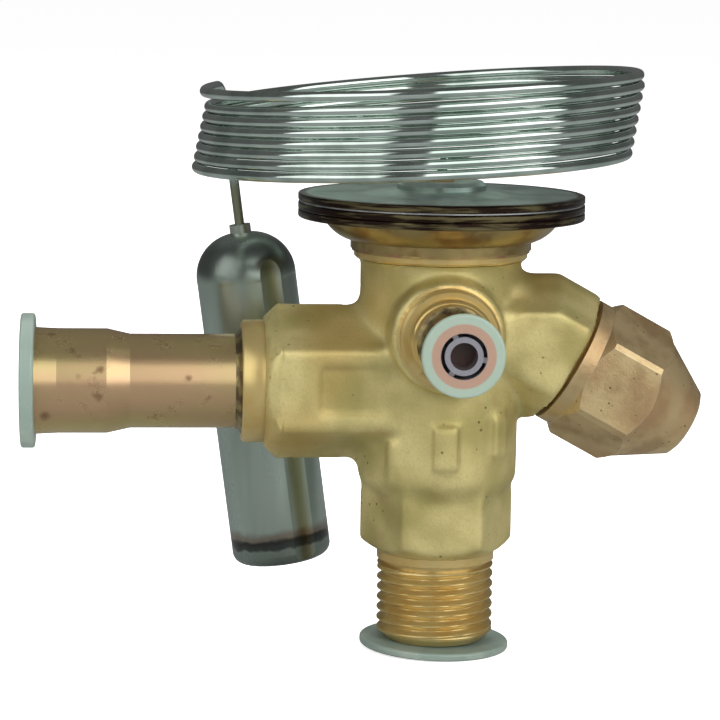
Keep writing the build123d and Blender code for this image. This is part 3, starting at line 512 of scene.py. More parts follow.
@dataclass(frozen=True)
class BlastedRelief:
    """Relief of a blasted surface: fine grain and broader lumps, with pits sunk in.

    Attributes:
        grain_size: Rough width of one grain, in millimetres.
        lump_size: Rough width of one lump, in millimetres.
        depth: What a height of 1 measures, in millimetres.
        lump: Height of the lumps.
        pit: Depth of the pits.
        grain: Height of the grain.
        layers: Number of finer layers in both noises.
        grain_rough: Strength of the finer layers in the grain.
    """

    grain_size: float
    lump_size: float
    depth: float
    lump: float
    pit: float
    grain: float = 0.6
    layers: float = 2.0
    grain_rough: float = 0.6

    def grains(self, graph: Graph) -> Field:
        """The grain by itself, between 0 and 1."""
        return graph.noise(self.grain_size, self.layers, self.grain_rough)

    def height(self, graph: Graph, grains: Field, pits: Field) -> Field:
        """Add up the relief.

        Args:
            graph: Tree that the relief is for.
            grains: The grain.
            pits: The pits, 1 at their bottoms.

        Returns:
            grain * grains + lump * lumps - pit * pits.
        """
        lumps = graph.noise(self.lump_size, self.layers)
        return grains * self.grain + lumps * self.lump - pits * self.pit


@dataclass(frozen=True)
class ForgedBrass:
    """Blasted brass forging whose turned ends are brighter and more golden.

    Attributes:
        rough: Roughness of the forged surface at its smoothest.
        rough_by_speck: What the specks add to it.
        turned_gloss: What turning takes off it.
    """

    name: str = "forged_brass"
    pale: Colour = srgb(224, 210, 148)
    olive: Colour = srgb(182, 170, 108)
    gold: Colour = srgb(208, 174, 102)
    tan: Colour = srgb(186, 150, 104)
    pit: Colour = srgb(112, 92, 50)
    turned_colour: Colour = srgb(214, 190, 128)
    turned_ends: TurnedEnds = TurnedEnds()
    clouds: Patches = Patches(size=9.0, detail=2.0, low=0.35, high=0.7)
    stains: Patches = Patches(size=22.0, detail=1.0, low=0.52, high=0.72, cover=0.6)
    blushes: Patches = Patches(size=5.0, detail=2.0, low=0.56, high=0.8, cover=0.4)
    specks: Patches = Patches(size=0.35, detail=2.0, low=0.45, high=0.75, cover=0.25)
    tool_marks: Patches = Patches(size=4.0, detail=2.0, low=0.4, high=0.7, cover=0.7)
    pitting: Pits = Pits(
        spacing=1.5, rim=0.16, core=0.07, cover=0.8,
        where=Patches(size=6.0, detail=1.0, low=0.5, high=0.62),
    )
    relief: BlastedRelief = BlastedRelief(
        grain_size=0.22, lump_size=1.2, depth=0.045, lump=1.4, pit=1.2
    )
    rough: float = 0.46
    rough_by_speck: float = 0.14
    turned_gloss: float = 0.22

    def build(self) -> bpy.types.Material:
        """Make the material.

        Returns:
            The finished material.
        """
        graph = Graph(self.name)
        turned = self.turned_ends.mask(graph)
        pits = graph.pits(self.pitting)
        colour = graph.blend(graph.patches(self.clouds), self.pale, self.olive)
        colour = graph.blend(graph.patches(self.stains), colour, self.gold)
        colour = graph.blend(graph.patches(self.blushes), colour, self.tan)
        colour = graph.blend(graph.patches(self.specks), colour, self.olive)
        colour = graph.blend(pits * self.pitting.cover, colour, self.pit)
        bright = graph.blend(graph.patches(self.tool_marks), self.turned_colour, self.gold)
        colour = graph.blend(turned, colour, bright)
        fine = graph.noise(self.specks.size, self.specks.detail)
        rough = self.rough + self.rough_by_speck * fine - turned * self.turned_gloss
        height = self.relief.height(graph, self.relief.grains(graph), pits)
        return graph.surface(
            Base_Color=colour, Metallic=0.78, Roughness=rough,
            Normal=graph.bump(height * (1 - turned), self.relief.depth),
        )


@dataclass(frozen=True)
class CapBrass:
    """Blasted and tumbled brass of the seal cap, darker and browner."""

    name: str = "cap_brass"
    tan: Colour = srgb(216, 192, 144)
    brown: Colour = srgb(184, 154, 112)
    rose: Colour = srgb(198, 160, 118)
    pit: Colour = srgb(96, 70, 44)
    clouds: Patches = Patches(size=5.0, detail=3.0, low=0.38, high=0.68)
    blushes: Patches = Patches(size=9.0, detail=1.0, low=0.5, high=0.75, cover=0.6)
    pitting: Pits = Pits(
        spacing=1.1, rim=0.2, core=0.08, cover=0.75,
        where=Patches(size=4.0, detail=1.0, low=0.5, high=0.62),
    )
    relief: BlastedRelief = BlastedRelief(
        grain_size=0.25, lump_size=1.0, depth=0.04, lump=1.0, pit=1.0
    )
    rough: float = 0.36
    rough_by_grain: float = 0.12

    def build(self) -> bpy.types.Material:
        """Make the material.

        Returns:
            The finished material.
        """
        graph = Graph(self.name)
        pits = graph.pits(self.pitting)
        colour = graph.blend(graph.patches(self.clouds), self.tan, self.brown)
        colour = graph.blend(graph.patches(self.blushes), colour, self.rose)
        colour = graph.blend(pits * self.pitting.cover, colour, self.pit)
        grains = self.relief.grains(graph)
        return graph.surface(
            Base_Color=colour, Metallic=0.85, Roughness=self.rough + self.rough_by_grain * grains,
            Normal=graph.bump(self.relief.height(graph, grains, pits), self.relief.depth),
        )


@dataclass(frozen=True)
class TurnedMetal:
    """Bright turned metal with fine tool rings across one axis.

    Attributes:
        axis: Direction that the tool moved in.
        ring_rate: Radians of the rings' wave per metre along the axis.
        ring_height: Height of the rings beside that of the unevenness.
        depth: What a height of 1 measures, in millimetres.
    """

    name: str
    light: Colour
    dark: Colour
    axis: Point = Axis.INLET.value
    clouds: Patches = Patches(size=3.0, detail=3.0, low=0.4, high=0.7)
    roughness: float = 0.24
    rough_by_cloud: float = 0.1
    metallic: float = 0.95
    ring_rate: float = 42000.0
    ring_height: float = 0.5
    depth: float = 0.004

    def build(self) -> bpy.types.Material:
        """Make the material.

        Returns:
            The finished material.
        """
        graph = Graph(self.name)
        rings = graph.math("SINE", graph.along(self.axis) * self.ring_rate)
        height = rings * self.ring_height + graph.noise(size=0.5, detail=2.0)
        rough = self.roughness + self.rough_by_cloud * graph.noise(size=1.5, detail=2.0)
        return graph.surface(
            Base_Color=graph.blend(graph.patches(self.clouds), self.light, self.dark),
            Metallic=self.metallic, Roughness=rough, Normal=graph.bump(height, self.depth),
        )


@dataclass(frozen=True)
class Spot:
    """Dark spot; its place and radius are in millimetres."""

    place: Point
    radius: float


@dataclass(frozen=True)
class DrawnCopper:
    """Drawn copper tube, rosy and golden, with water marks and a few spots.

    Attributes:
        drawn: Patches of the two metal colours, drawn out along the tube.
        marks: Water marks.
        spots: Single dark spots.
        spot_fringe: Width that a spot fades over beyond its radius, in millimetres.
        spot_core: Share of the radius inside which a spot is full.
        spot_waver: How far a spot's edge wanders, in millimetres.
        spot_cover: Share of the copper that a full spot hides.
        draw_lines: Factors on the coordinates that draw the fine lines out.
        depth: What a height of 1 measures, in millimetres.
    """

    name: str
    rose: Colour = srgb(216, 180, 140)
    gold: Colour = srgb(210, 190, 134)
    brown: Colour = srgb(120, 84, 62)
    drawn: Patches = Patches(
        size=7.0, detail=3.0, low=0.38, high=0.66, rough=0.5, stretch=(0.22, 1.0, 1.0)
    )
    marks: Patches = Patches(size=3.0, detail=4.0, low=0.6, high=0.72, cover=0.55, rough=0.6)
    spots: tuple[Spot, ...] = ()
    spot_fringe: float = 0.5
    spot_core: float = 0.6
    spot_waver: float = 0.6
    spot_cover: float = 0.75
    rough: float = 0.27
    rough_by_mark: float = 0.12
    draw_lines: Point = (0.1, 1.0, 1.0)
    depth: float = 0.012

    def spot_mask(self, graph: Graph, spot: Spot) -> Field:
        """Mark one spot.

        Args:
            graph: Tree that the mask is for.
            spot: The spot.

        Returns:
            The cover of the spot, 0 away from it.
        """
        centre = tuple(part * MM for part in spot.place)
        edge = graph.distance(centre) + graph.noise(size=0.8) * (self.spot_waver * MM)
        outside = (spot.radius + self.spot_fringe) * MM
        return edge.ramp(outside, spot.radius * self.spot_core * MM) * self.spot_cover

    def build(self) -> bpy.types.Material:
        """Make the material.

        Returns:
            The finished material.
        """
        graph = Graph(self.name)
        marks = graph.patches(self.marks)
        colour = graph.blend(graph.patches(self.drawn), self.rose, self.gold)
        colour = graph.blend(marks, colour, self.brown)
        for spot in self.spots:
            colour = graph.blend(self.spot_mask(graph, spot), colour, self.brown)
        height = graph.noise(size=0.9, detail=2.0, rough=0.5, stretch=self.draw_lines)
        return graph.surface(
            Base_Color=colour, Metallic=0.9, Roughness=self.rough + self.rough_by_mark * marks,
            Normal=graph.bump(height, self.depth),
        )


@dataclass(frozen=True)
class HeatTintedSteel:
    """Stainless plate of the power element, brown at its welded rim, with a painted reflection of
    the brass body on its underside.

    Attributes:
        rim_from: Radius where the brown of the rim begins, in metres.
        rim_full: Radius where it is full.
        waver: How far its edge wanders.
        under_from: Height below which the painted reflection of the brass body on the underside
            begins.
        under_full: Height below which it is full.
    """

    name: str = "tinted_steel"
    grey: Colour = srgb(190, 208, 198)
    teal: Colour = srgb(150, 172, 162)
    soot: Colour = srgb(46, 32, 26)
    brown: Colour = srgb(146, 118, 74)
    # brown and straw paint the reflection of the brass body on the underside
    olive: Colour = srgb(120, 110, 78)
    straw: Colour = srgb(176, 156, 104)
    clouds: Patches = Patches(size=6.0, detail=3.0, low=0.4, high=0.7)
    brass_reflection_clouds: Patches = Patches(size=4.0, detail=3.0, low=0.42, high=0.7)
    rim_streak: float = 0.5
    rim_streak_share: tuple[float, float] = (0.46, 0.66)
    rim_from: float = 0.0182
    rim_full: float = 0.0190
    waver: float = 0.0008
    under_from: float = 0.0571
    under_full: float = 0.0564
    rough: float = 0.24
    rough_by_cloud: float = 0.14
    depth: float = 0.01

    def build(self) -> bpy.types.Material:
        """Make the material.

        Returns:
            The finished material.
        """
        graph = Graph(self.name)
        radius = graph.off_axis(Axis.INLET)
        wandering = radius + graph.noise(size=2.0, detail=3.0) * self.waver
        tint = wandering.ramp(self.rim_from, self.rim_full)
        # painted reflection of the brass body on the underside, below a height
        below = graph.along(Axis.INLET.value).ramp(self.under_from, self.under_full)
        streaks = graph.swept_noise(self.rim_streak).ramp(*self.rim_streak_share)
        colour = graph.blend(graph.patches(self.clouds), self.grey, self.teal)
        under = graph.blend(graph.patches(self.brass_reflection_clouds), self.straw, self.brown)
        colour = graph.blend(below, colour, under)
        colour = graph.blend(tint, colour, graph.blend(streaks, self.soot, self.olive))
        rough = self.rough + self.rough_by_cloud * graph.noise(size=2.5, detail=2.0)
        return graph.surface(
            Base_Color=colour, Metallic=0.9, Roughness=rough,
            Normal=graph.bump(graph.noise(size=0.6, detail=2.0), self.depth),
        )


@dataclass(frozen=True)
class BrazeMetal:
    """Frozen braze metal with an uneven surface, rosy where it is not toned down."""

    name: str = "braze_metal"
    rose: Colour = srgb(172, 128, 98)
    straw: Colour = srgb(178, 156, 100)
    clouds: Patches = Patches(size=1.6, detail=3.0, low=0.4, high=0.62)
    depth: float = 0.12

    def build(self) -> bpy.types.Material:
        """Make the material.

        Returns:
            The finished material.
        """
        graph = Graph(self.name)
        return graph.surface(
            Base_Color=graph.blend(graph.patches(self.clouds), self.rose, self.straw),
            Metallic=0.85, Roughness=0.34,
            Normal=graph.bump(graph.noise(size=0.9, detail=3.0), self.depth),
        )


@dataclass(frozen=True)
class PlatedTube:
    """Smooth plated tube of the wound capillary, duller where it rises from the element.

    Attributes:
        riser_from: Height below which the tube gets duller, in metres.
        riser_full: Height below which it is dullest.
        rough_by_riser: What the dull length adds to the roughness.
    """

    name: str = "plated_tube"
    bright: Colour = srgb(222, 234, 226)
    dull: Colour = srgb(184, 200, 190)
    riser_colour: Colour = srgb(142, 146, 124)
    clouds: Patches = Patches(size=8.0, detail=3.0, low=0.42, high=0.7)
    riser_from: float = 0.0605
    riser_full: float = 0.0585
    rough: float = 0.09
    rough_by_cloud: float = 0.04
    rough_by_riser: float = 0.3
    depth: float = 0.006

    def build(self) -> bpy.types.Material:
        """Make the material.

        Returns:
            The finished material.
        """
        graph = Graph(self.name)
        riser = graph.along(Axis.INLET.value).ramp(self.riser_from, self.riser_full)
        colour = graph.blend(graph.patches(self.clouds), self.bright, self.dull)
        colour = graph.blend(riser, colour, self.riser_colour)
        rough = self.rough + self.rough_by_cloud * graph.noise(size=3.0, detail=2.0)
        return graph.surface(
            Base_Color=colour, Metallic=1.0, Roughness=rough + self.rough_by_riser * riser,
            Normal=graph.bump(graph.noise(size=1.5, detail=2.0), self.depth),
        )


@dataclass(frozen=True)
class DullBulb:
    """Patinated bulb, grey green, darker near its rolled foot.

    Attributes:
        top: Point on the bulb's axis at the root of its neck, in metres.
        lean: Angle of the bulb from upright, in radians.
        waver: How far the edges of the bands wander, in metres.
        warm_band: Distances from the top where the rusty band above the foot starts, is
            full, fades and is gone.
        foot_band: The same for the sooty ring at the foot.
        shoulder_band: The same for the sooty shoulder.
        foot_from: Distance from the top where the end of the foot begins to darken.
        foot_full: Distance where it is fully dark.
        foot_end: Darkness of the end beside that of the ring.
        neck_to: Distance where the weld colour of the neck has gone.
        neck_full: Distance, above the top, where it is full.
    """

    name: str = "dull_bulb"
    grey: Colour = srgb(186, 200, 190)
    green: Colour = srgb(150, 164, 150)
    soot: Colour = srgb(52, 54, 54)
    rust: Colour = srgb(128, 104, 88)
    weld: Colour = srgb(176, 184, 172)
    top: Point = (-0.0263, 0.0186, 0.0523)
    lean: float = math.radians(7.8)
    streaks: Patches = Patches(
        size=4.5, detail=2.0, low=0.35, high=0.75, cover=0.7, rough=0.5, stretch=(1.0, 1.0, 0.12)
    )
    waver: float = 0.0016
    warm_band: Band = (0.0422, 0.0436, 0.0442, 0.0450)
    warm_cover: float = 0.7
    foot_band: Band = (0.0436, 0.0442, 0.0450, 0.0458)
    foot_from: float = 0.0450
    foot_full: float = 0.0456
    foot_end: float = 0.5
    foot_cover: float = 0.9
    shoulder_band: Band = (0.0006, 0.0030, 0.0052, 0.0074)
    shoulder_cover: float = 0.55
    neck_to: float = 0.0002
    neck_full: float = -0.0001
    rough: float = 0.27
    rough_by_streak: float = 0.1
    scratches: Point = (1.0, 1.0, 0.1)
    depth: float = 0.008

    def build(self) -> bpy.types.Material:
        """Make the material.

        Returns:
            The finished material.
        """
        graph = Graph(self.name)
        down = (math.sin(self.lean), 0.0, -math.cos(self.lean))
        length = graph.along(down, self.top)
        wavy = length + graph.noise(size=3.0, detail=2.0) * self.waver
        streaks = graph.patches(self.streaks)
        end = wavy.ramp(self.foot_from, self.foot_full) * self.foot_end
        foot = wavy.band(*self.foot_band).either(end) * self.foot_cover
        warm = wavy.band(*self.warm_band) * self.warm_cover
        shoulder = wavy.band(*self.shoulder_band) * self.shoulder_cover
        neck = length.ramp(self.neck_to, self.neck_full)
        colour = graph.blend(streaks, self.grey, self.green)
        colour = graph.blend(warm, colour, self.rust)
        colour = graph.blend(foot.either(shoulder), colour, self.soot)
        colour = graph.blend(neck, colour, self.weld)
        height = graph.noise(size=0.5, detail=2.0, rough=0.5, stretch=self.scratches)
        return graph.surface(
            Base_Color=colour, Metallic=0.95,
            Roughness=self.rough + self.rough_by_streak * streaks,
            Normal=graph.bump(height, self.depth),
        )


@dataclass(frozen=True)
class SoftPlug:
    """Pale soft plastic of the transport plugs, slightly clear."""

    name: str = "soft_plug"
    pale: Colour = srgb(150, 168, 158)
    milk: Colour = srgb(168, 182, 170)
    clouds: Patches = Patches(size=4.0, detail=2.0, low=0.4, high=0.7)
    rough: float = 0.34
    rough_by_cloud: float = 0.1
    depth: float = 0.02

    def build(self) -> bpy.types.Material:
        """Make the material.

        Returns:
            The finished material.
        """
        graph = Graph(self.name)
        rough = self.rough + self.rough_by_cloud * graph.noise(size=2.0, detail=2.0)
        return graph.surface(
            Base_Color=graph.blend(graph.patches(self.clouds), self.pale, self.milk),
            Roughness=rough, IOR=1.5, Transmission_Weight=0.35,
            Subsurface_Weight=0.2, Subsurface_Radius=(0.004, 0.005, 0.004), Subsurface_Scale=0.4,
            Normal=graph.bump(graph.noise(size=1.5, detail=2.0), self.depth),
        )


@dataclass(frozen=True)
class Zone:
    """Round zone of a face; it starts at its outer radius and is full inside its inner."""

    outer: float
    inner: float
    colour: Colour


@dataclass(frozen=True)
class ZonedPlug:
    """Small clear plug over the end of the equaliser tube, which shows through its face, with
    painted shade in the gap and the hollow inside it.

    Attributes:
        height: Height of the equaliser's axis, in metres.
        rim: Colour of the plug beyond every zone.
        zones: Zones from the outside in, two of them painted shade; radii are in metres.
    """

    name: str = "equaliser_plug_clear"
    height: float = 0.0418
    rim: Colour = srgb(140, 156, 142)
    zones: tuple[Zone, ...] = (
        Zone(0.00425, 0.00395, srgb(150, 122, 104)),  # end of the copper tube
        # painted shade: the gap round the sleeve is coloured dark in place of its shadow
        Zone(0.00300, 0.00294, srgb(88, 86, 90)),  # gap round the sleeve
        Zone(0.00250, 0.00244, srgb(112, 112, 118)),  # sleeve
        # painted shade: the hollow inside the sleeve is coloured dark in place of its shadow
        Zone(0.00178, 0.00172, srgb(60, 40, 34)),  # hollow inside it
    )
    rough: float = 0.3
    rough_by_cloud: float = 0.1
    depth: float = 0.02

    def build(self) -> bpy.types.Material:
        """Make the material.

        Returns:
            The finished material.
        """
        graph = Graph(self.name)
        radius = graph.off_axis(Axis.EQUALISER, (0.0, 0.0, self.height))
        colour = self.rim
        for zone in self.zones:
            colour = graph.blend(radius.ramp(zone.outer, zone.inner), colour, zone.colour)
        rough = self.rough + self.rough_by_cloud * graph.noise(size=2.0, detail=2.0)
        return graph.surface(
            Base_Color=colour, Roughness=rough, Subsurface_Weight=0.1, Subsurface_Scale=0.001,
            Normal=graph.bump(graph.noise(size=1.5, detail=2.0), self.depth),
        )


@dataclass(frozen=True)
class PlainSeal:
    """Matt moulded or cut seal."""

    name: str
    base: Colour
    speck: Colour
    roughness: float = 0.6
    specks: Patches = Patches(size=1.0, detail=3.0, low=0.4, high=0.7)
    depth: float = 0.01

    def build(self) -> bpy.types.Material:
        """Make the material.

        Returns:
            The finished material.
        """
        graph = Graph(self.name)
        return graph.surface(
            Base_Color=graph.blend(graph.patches(self.specks), self.base, self.speck),
            Roughness=self.roughness,
            Normal=graph.bump(graph.noise(size=0.4, detail=2.0), self.depth),
        )


# ------------------------------------------------------------------ mesh helpers
def new_piece(name: str, mesh: bpy.types.Mesh, finish: bpy.types.Material) -> bpy.types.Object:
    """Make an object at the origin with one material.

    Args:
        name: Name of the object.
        mesh: Its mesh, already in place.
        finish: Its material.

    Returns:
        The object, linked to the scene.
    """
    piece = bpy.data.objects.new(name, mesh)
    bpy.context.collection.objects.link(piece)
    mesh.materials.clear()
    mesh.materials.append(finish)
    return piece


def smooth_by_angle(mesh: bpy.types.Mesh, degrees: float) -> None:
    """Shade smooth, with edges above the angle kept sharp."""
    mesh.shade_smooth()
    mesh.set_sharp_from_angle(angle=math.radians(degrees))


def merged_copy(node: str) -> bmesh.types.BMesh:
    """Welded copy of a node's mesh, with its flat faces joined up.

    Args:
        node: Name of the frame's node.

    Returns:
        An editable mesh that the caller frees.
    """
    work = bmesh.new()
    work.from_mesh(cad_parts[node].data)
    bmesh.ops.remove_doubles(work, verts=work.verts, dist=WELD)
    bmesh.ops.dissolve_limit(work, angle_limit=FLAT, verts=work.verts, edges=work.edges)
    return work


def finished(work: bmesh.types.BMesh, name: str) -> bpy.types.Mesh:
    """Turn an editable mesh into a plain one.

    Args:
        work: The editable mesh, which is freed.
        name: Name of the new mesh.

    Returns:
        The new mesh.
    """
    mesh = bpy.data.meshes.new(name)
    work.to_mesh(mesh)
    work.free()
    return mesh


def tube_grid(rings: np.ndarray) -> tuple[np.ndarray, np.ndarray]:
    """Join a grid of rings by quads.

    Corner (row, column) is joined to the next column, round the ring, and the next row.

    Args:
        rings: Points by row, column and coordinate; each row is one closed ring.

    Returns:
        The points as rows, and the quads as rows of point numbers.
    """
    rows, columns = rings.shape[:2]
    row, column = np.meshgrid(np.arange(rows - 1), np.arange(columns), indexing="ij")
    after = (column + 1) % columns
    faces = np.stack(
        [row * columns + column, row * columns + after,
         (row + 1) * columns + after, (row + 1) * columns + column], axis=-1
    )
    return rings.reshape(-1, 3), faces.reshape(-1, 4)


def cut_away(work: bmesh.types.BMesh, point: Sequence[float], normal: Sequence[float]) -> None:
    """Keep the side of a plane that its normal points away from, and close the cut.

    Args:
        work: The mesh that is cut.
        point: Any point of the plane.
        normal: Normal of the plane.
    """
    everything = [*work.verts, *work.edges, *work.faces]
    cut = bmesh.ops.bisect_plane(
        work, geom=everything, dist=CUT_SLACK, plane_co=point, plane_no=normal, clear_outer=True
    )
    rim = [item for item in cut["geom_cut"] if isinstance(item, bmesh.types.BMEdge)]
    bmesh.ops.triangle_fill(
        work, use_beauty=True, use_dissolve=False, edges=rim, normal=tuple(normal)
    )
    bmesh.ops.recalc_face_normals(work, faces=work.faces)


def remeshed(mesh: bpy.types.Mesh, size: float) -> bpy.types.Mesh:
    """Cover a closed mesh with an even mesh of quads.

    Args:
        mesh: The closed mesh.
        size: Edge length of the quads, in metres.

    Returns:
        The even mesh.
    """
    carrier = bpy.data.objects.new("carrier", mesh)
    bpy.context.collection.objects.link(carrier)
    grid = carrier.modifiers.new("grid", "REMESH")
    grid.mode = "VOXEL"
    grid.voxel_size = size
    graph = bpy.context.evaluated_depsgraph_get()
    even = bpy.data.meshes.new_from_object(carrier.evaluated_get(graph))
    bpy.data.objects.remove(carrier)
    return even


def points_of(mesh: bpy.types.Mesh) -> np.ndarray:
    """Read the places of a mesh's vertices.

    Args:
        mesh: The mesh.

    Returns:
        One row of three coordinates for each vertex.
    """
    flat = np.empty(len(mesh.vertices) * 3)
    mesh.vertices.foreach_get("co", flat)
    return flat.reshape(-1, 3)


def relaxed(mesh: bpy.types.Mesh, weight: np.ndarray, rounds: int, step: float = 0.5) -> None:
    """Round a mesh by drawing each vertex towards the mean of its neighbours.

    Each round moves vertex p by step * weight * (mean of the neighbours - p).

    Args:
        mesh: The mesh, which is changed.
        weight: How freely each vertex moves, from 0 to 1.
        rounds: Number of rounds.
        step: Share of the way that a free vertex goes in one round.
    """
    points = points_of(mesh)
    ends = np.empty(len(mesh.edges) * 2, dtype=np.int64)
    mesh.edges.foreach_get("vertices", ends)
    first, second = ends.reshape(-1, 2).T
    count = len(points)
    degree = np.bincount(first, minlength=count) + np.bincount(second, minlength=count)
    for _ in range(rounds):
        total = np.stack(
            [np.bincount(first, points[second, part], count)
             + np.bincount(second, points[first, part], count) for part in range(3)], axis=-1
        )
        points += weight[:, None] * (total / degree[:, None] - points) * step
    mesh.vertices.foreach_set("co", points.ravel())
    mesh.update()


def report_mesh(part: str, work: bmesh.types.BMesh) -> None:
    """Log the size of a part and how many of its edges are open."""
    open_edges = sum(1 for edge in work.edges if not edge.is_manifold)
    log.info("%s: %d faces, %d open edges", part, len(work.faces), open_edges)


# ---------------------------------------------------------------- sub-assemblies
@dataclass(frozen=True)
class SoftZones:
    """How far the forging is rounded, zone by zone; lengths are in metres.

    Attributes:
        root_radius: Distance from the inlet axis within which the bosses' roots lie.
        root_height: Height above which they lie.
        pad_low: Height where the belt round the pad's lower edge begins.
        pad_high: Height where that belt ends.
        root: Softness of the roots.
        pad: Softness of the belt.
        plain: Softness of everything else.
        inlet_bore: Distance from the inlet axis within which a surface is a bore's.
        outlet_bore: The same for the outlet.
        equaliser_bore: The same for the equaliser.
        spindle_bore: The same for the spindle.
        outlet_height: Height of the outlet axis.
        equaliser_height: Height of the equaliser axis.
        margin: Distance from a cut over which softness grows from 0.
    """

    root_radius: float = 0.0132
    root_height: float = 0.0193
    pad_low: float = 0.0236
    pad_high: float = 0.0306
    root: float = 0.5
    pad: float = 0.12
    plain: float = 0.07
    inlet_bore: float = 0.00855
    outlet_bore: float = 0.0066
    equaliser_bore: float = 0.0042
    spindle_bore: float = 0.0048
    outlet_height: float = 0.0341
    equaliser_height: float = 0.0418
    margin: float = 0.0012

    def at(self, points: np.ndarray, cuts: Sequence[tuple[Point, Point]]) -> np.ndarray:
        """Softness of each point, 0 in bores and at cuts.

        Args:
            points: Points as rows.
            cuts: Point and outward normal of each cut.

        Returns:
            One number from 0 to 1 for each point.
        """
        x, y, z = points.T
        off_inlet = np.hypot(x, y)
        off_outlet = np.hypot(y, z - self.outlet_height)
        off_equaliser = np.hypot(x, z - self.equaliser_height)
        from_spindle = points - np.array(SPINDLE_ORIGIN)
        off_spindle = np.linalg.norm(np.cross(from_spindle, np.array(SPINDLE_AXIS)), axis=1)
        root = (off_inlet < self.root_radius) & (z > self.root_height)
        belt = root & (z > self.pad_low) & (z < self.pad_high)
        soft = np.where(belt, self.pad, np.where(root, self.root, self.plain))
        bores = (off_inlet < self.inlet_bore) | (off_outlet < self.outlet_bore)
        bores |= off_spindle < self.spindle_bore
        bores |= (off_equaliser < self.equaliser_bore) & (y < 0)
        soft[bores] = 0.0
        for point, normal in cuts:
            inward = (points - np.array(point)) @ -np.array(normal)
            soft *= np.clip(inward / self.margin, 0.0, 1.0)
        return soft


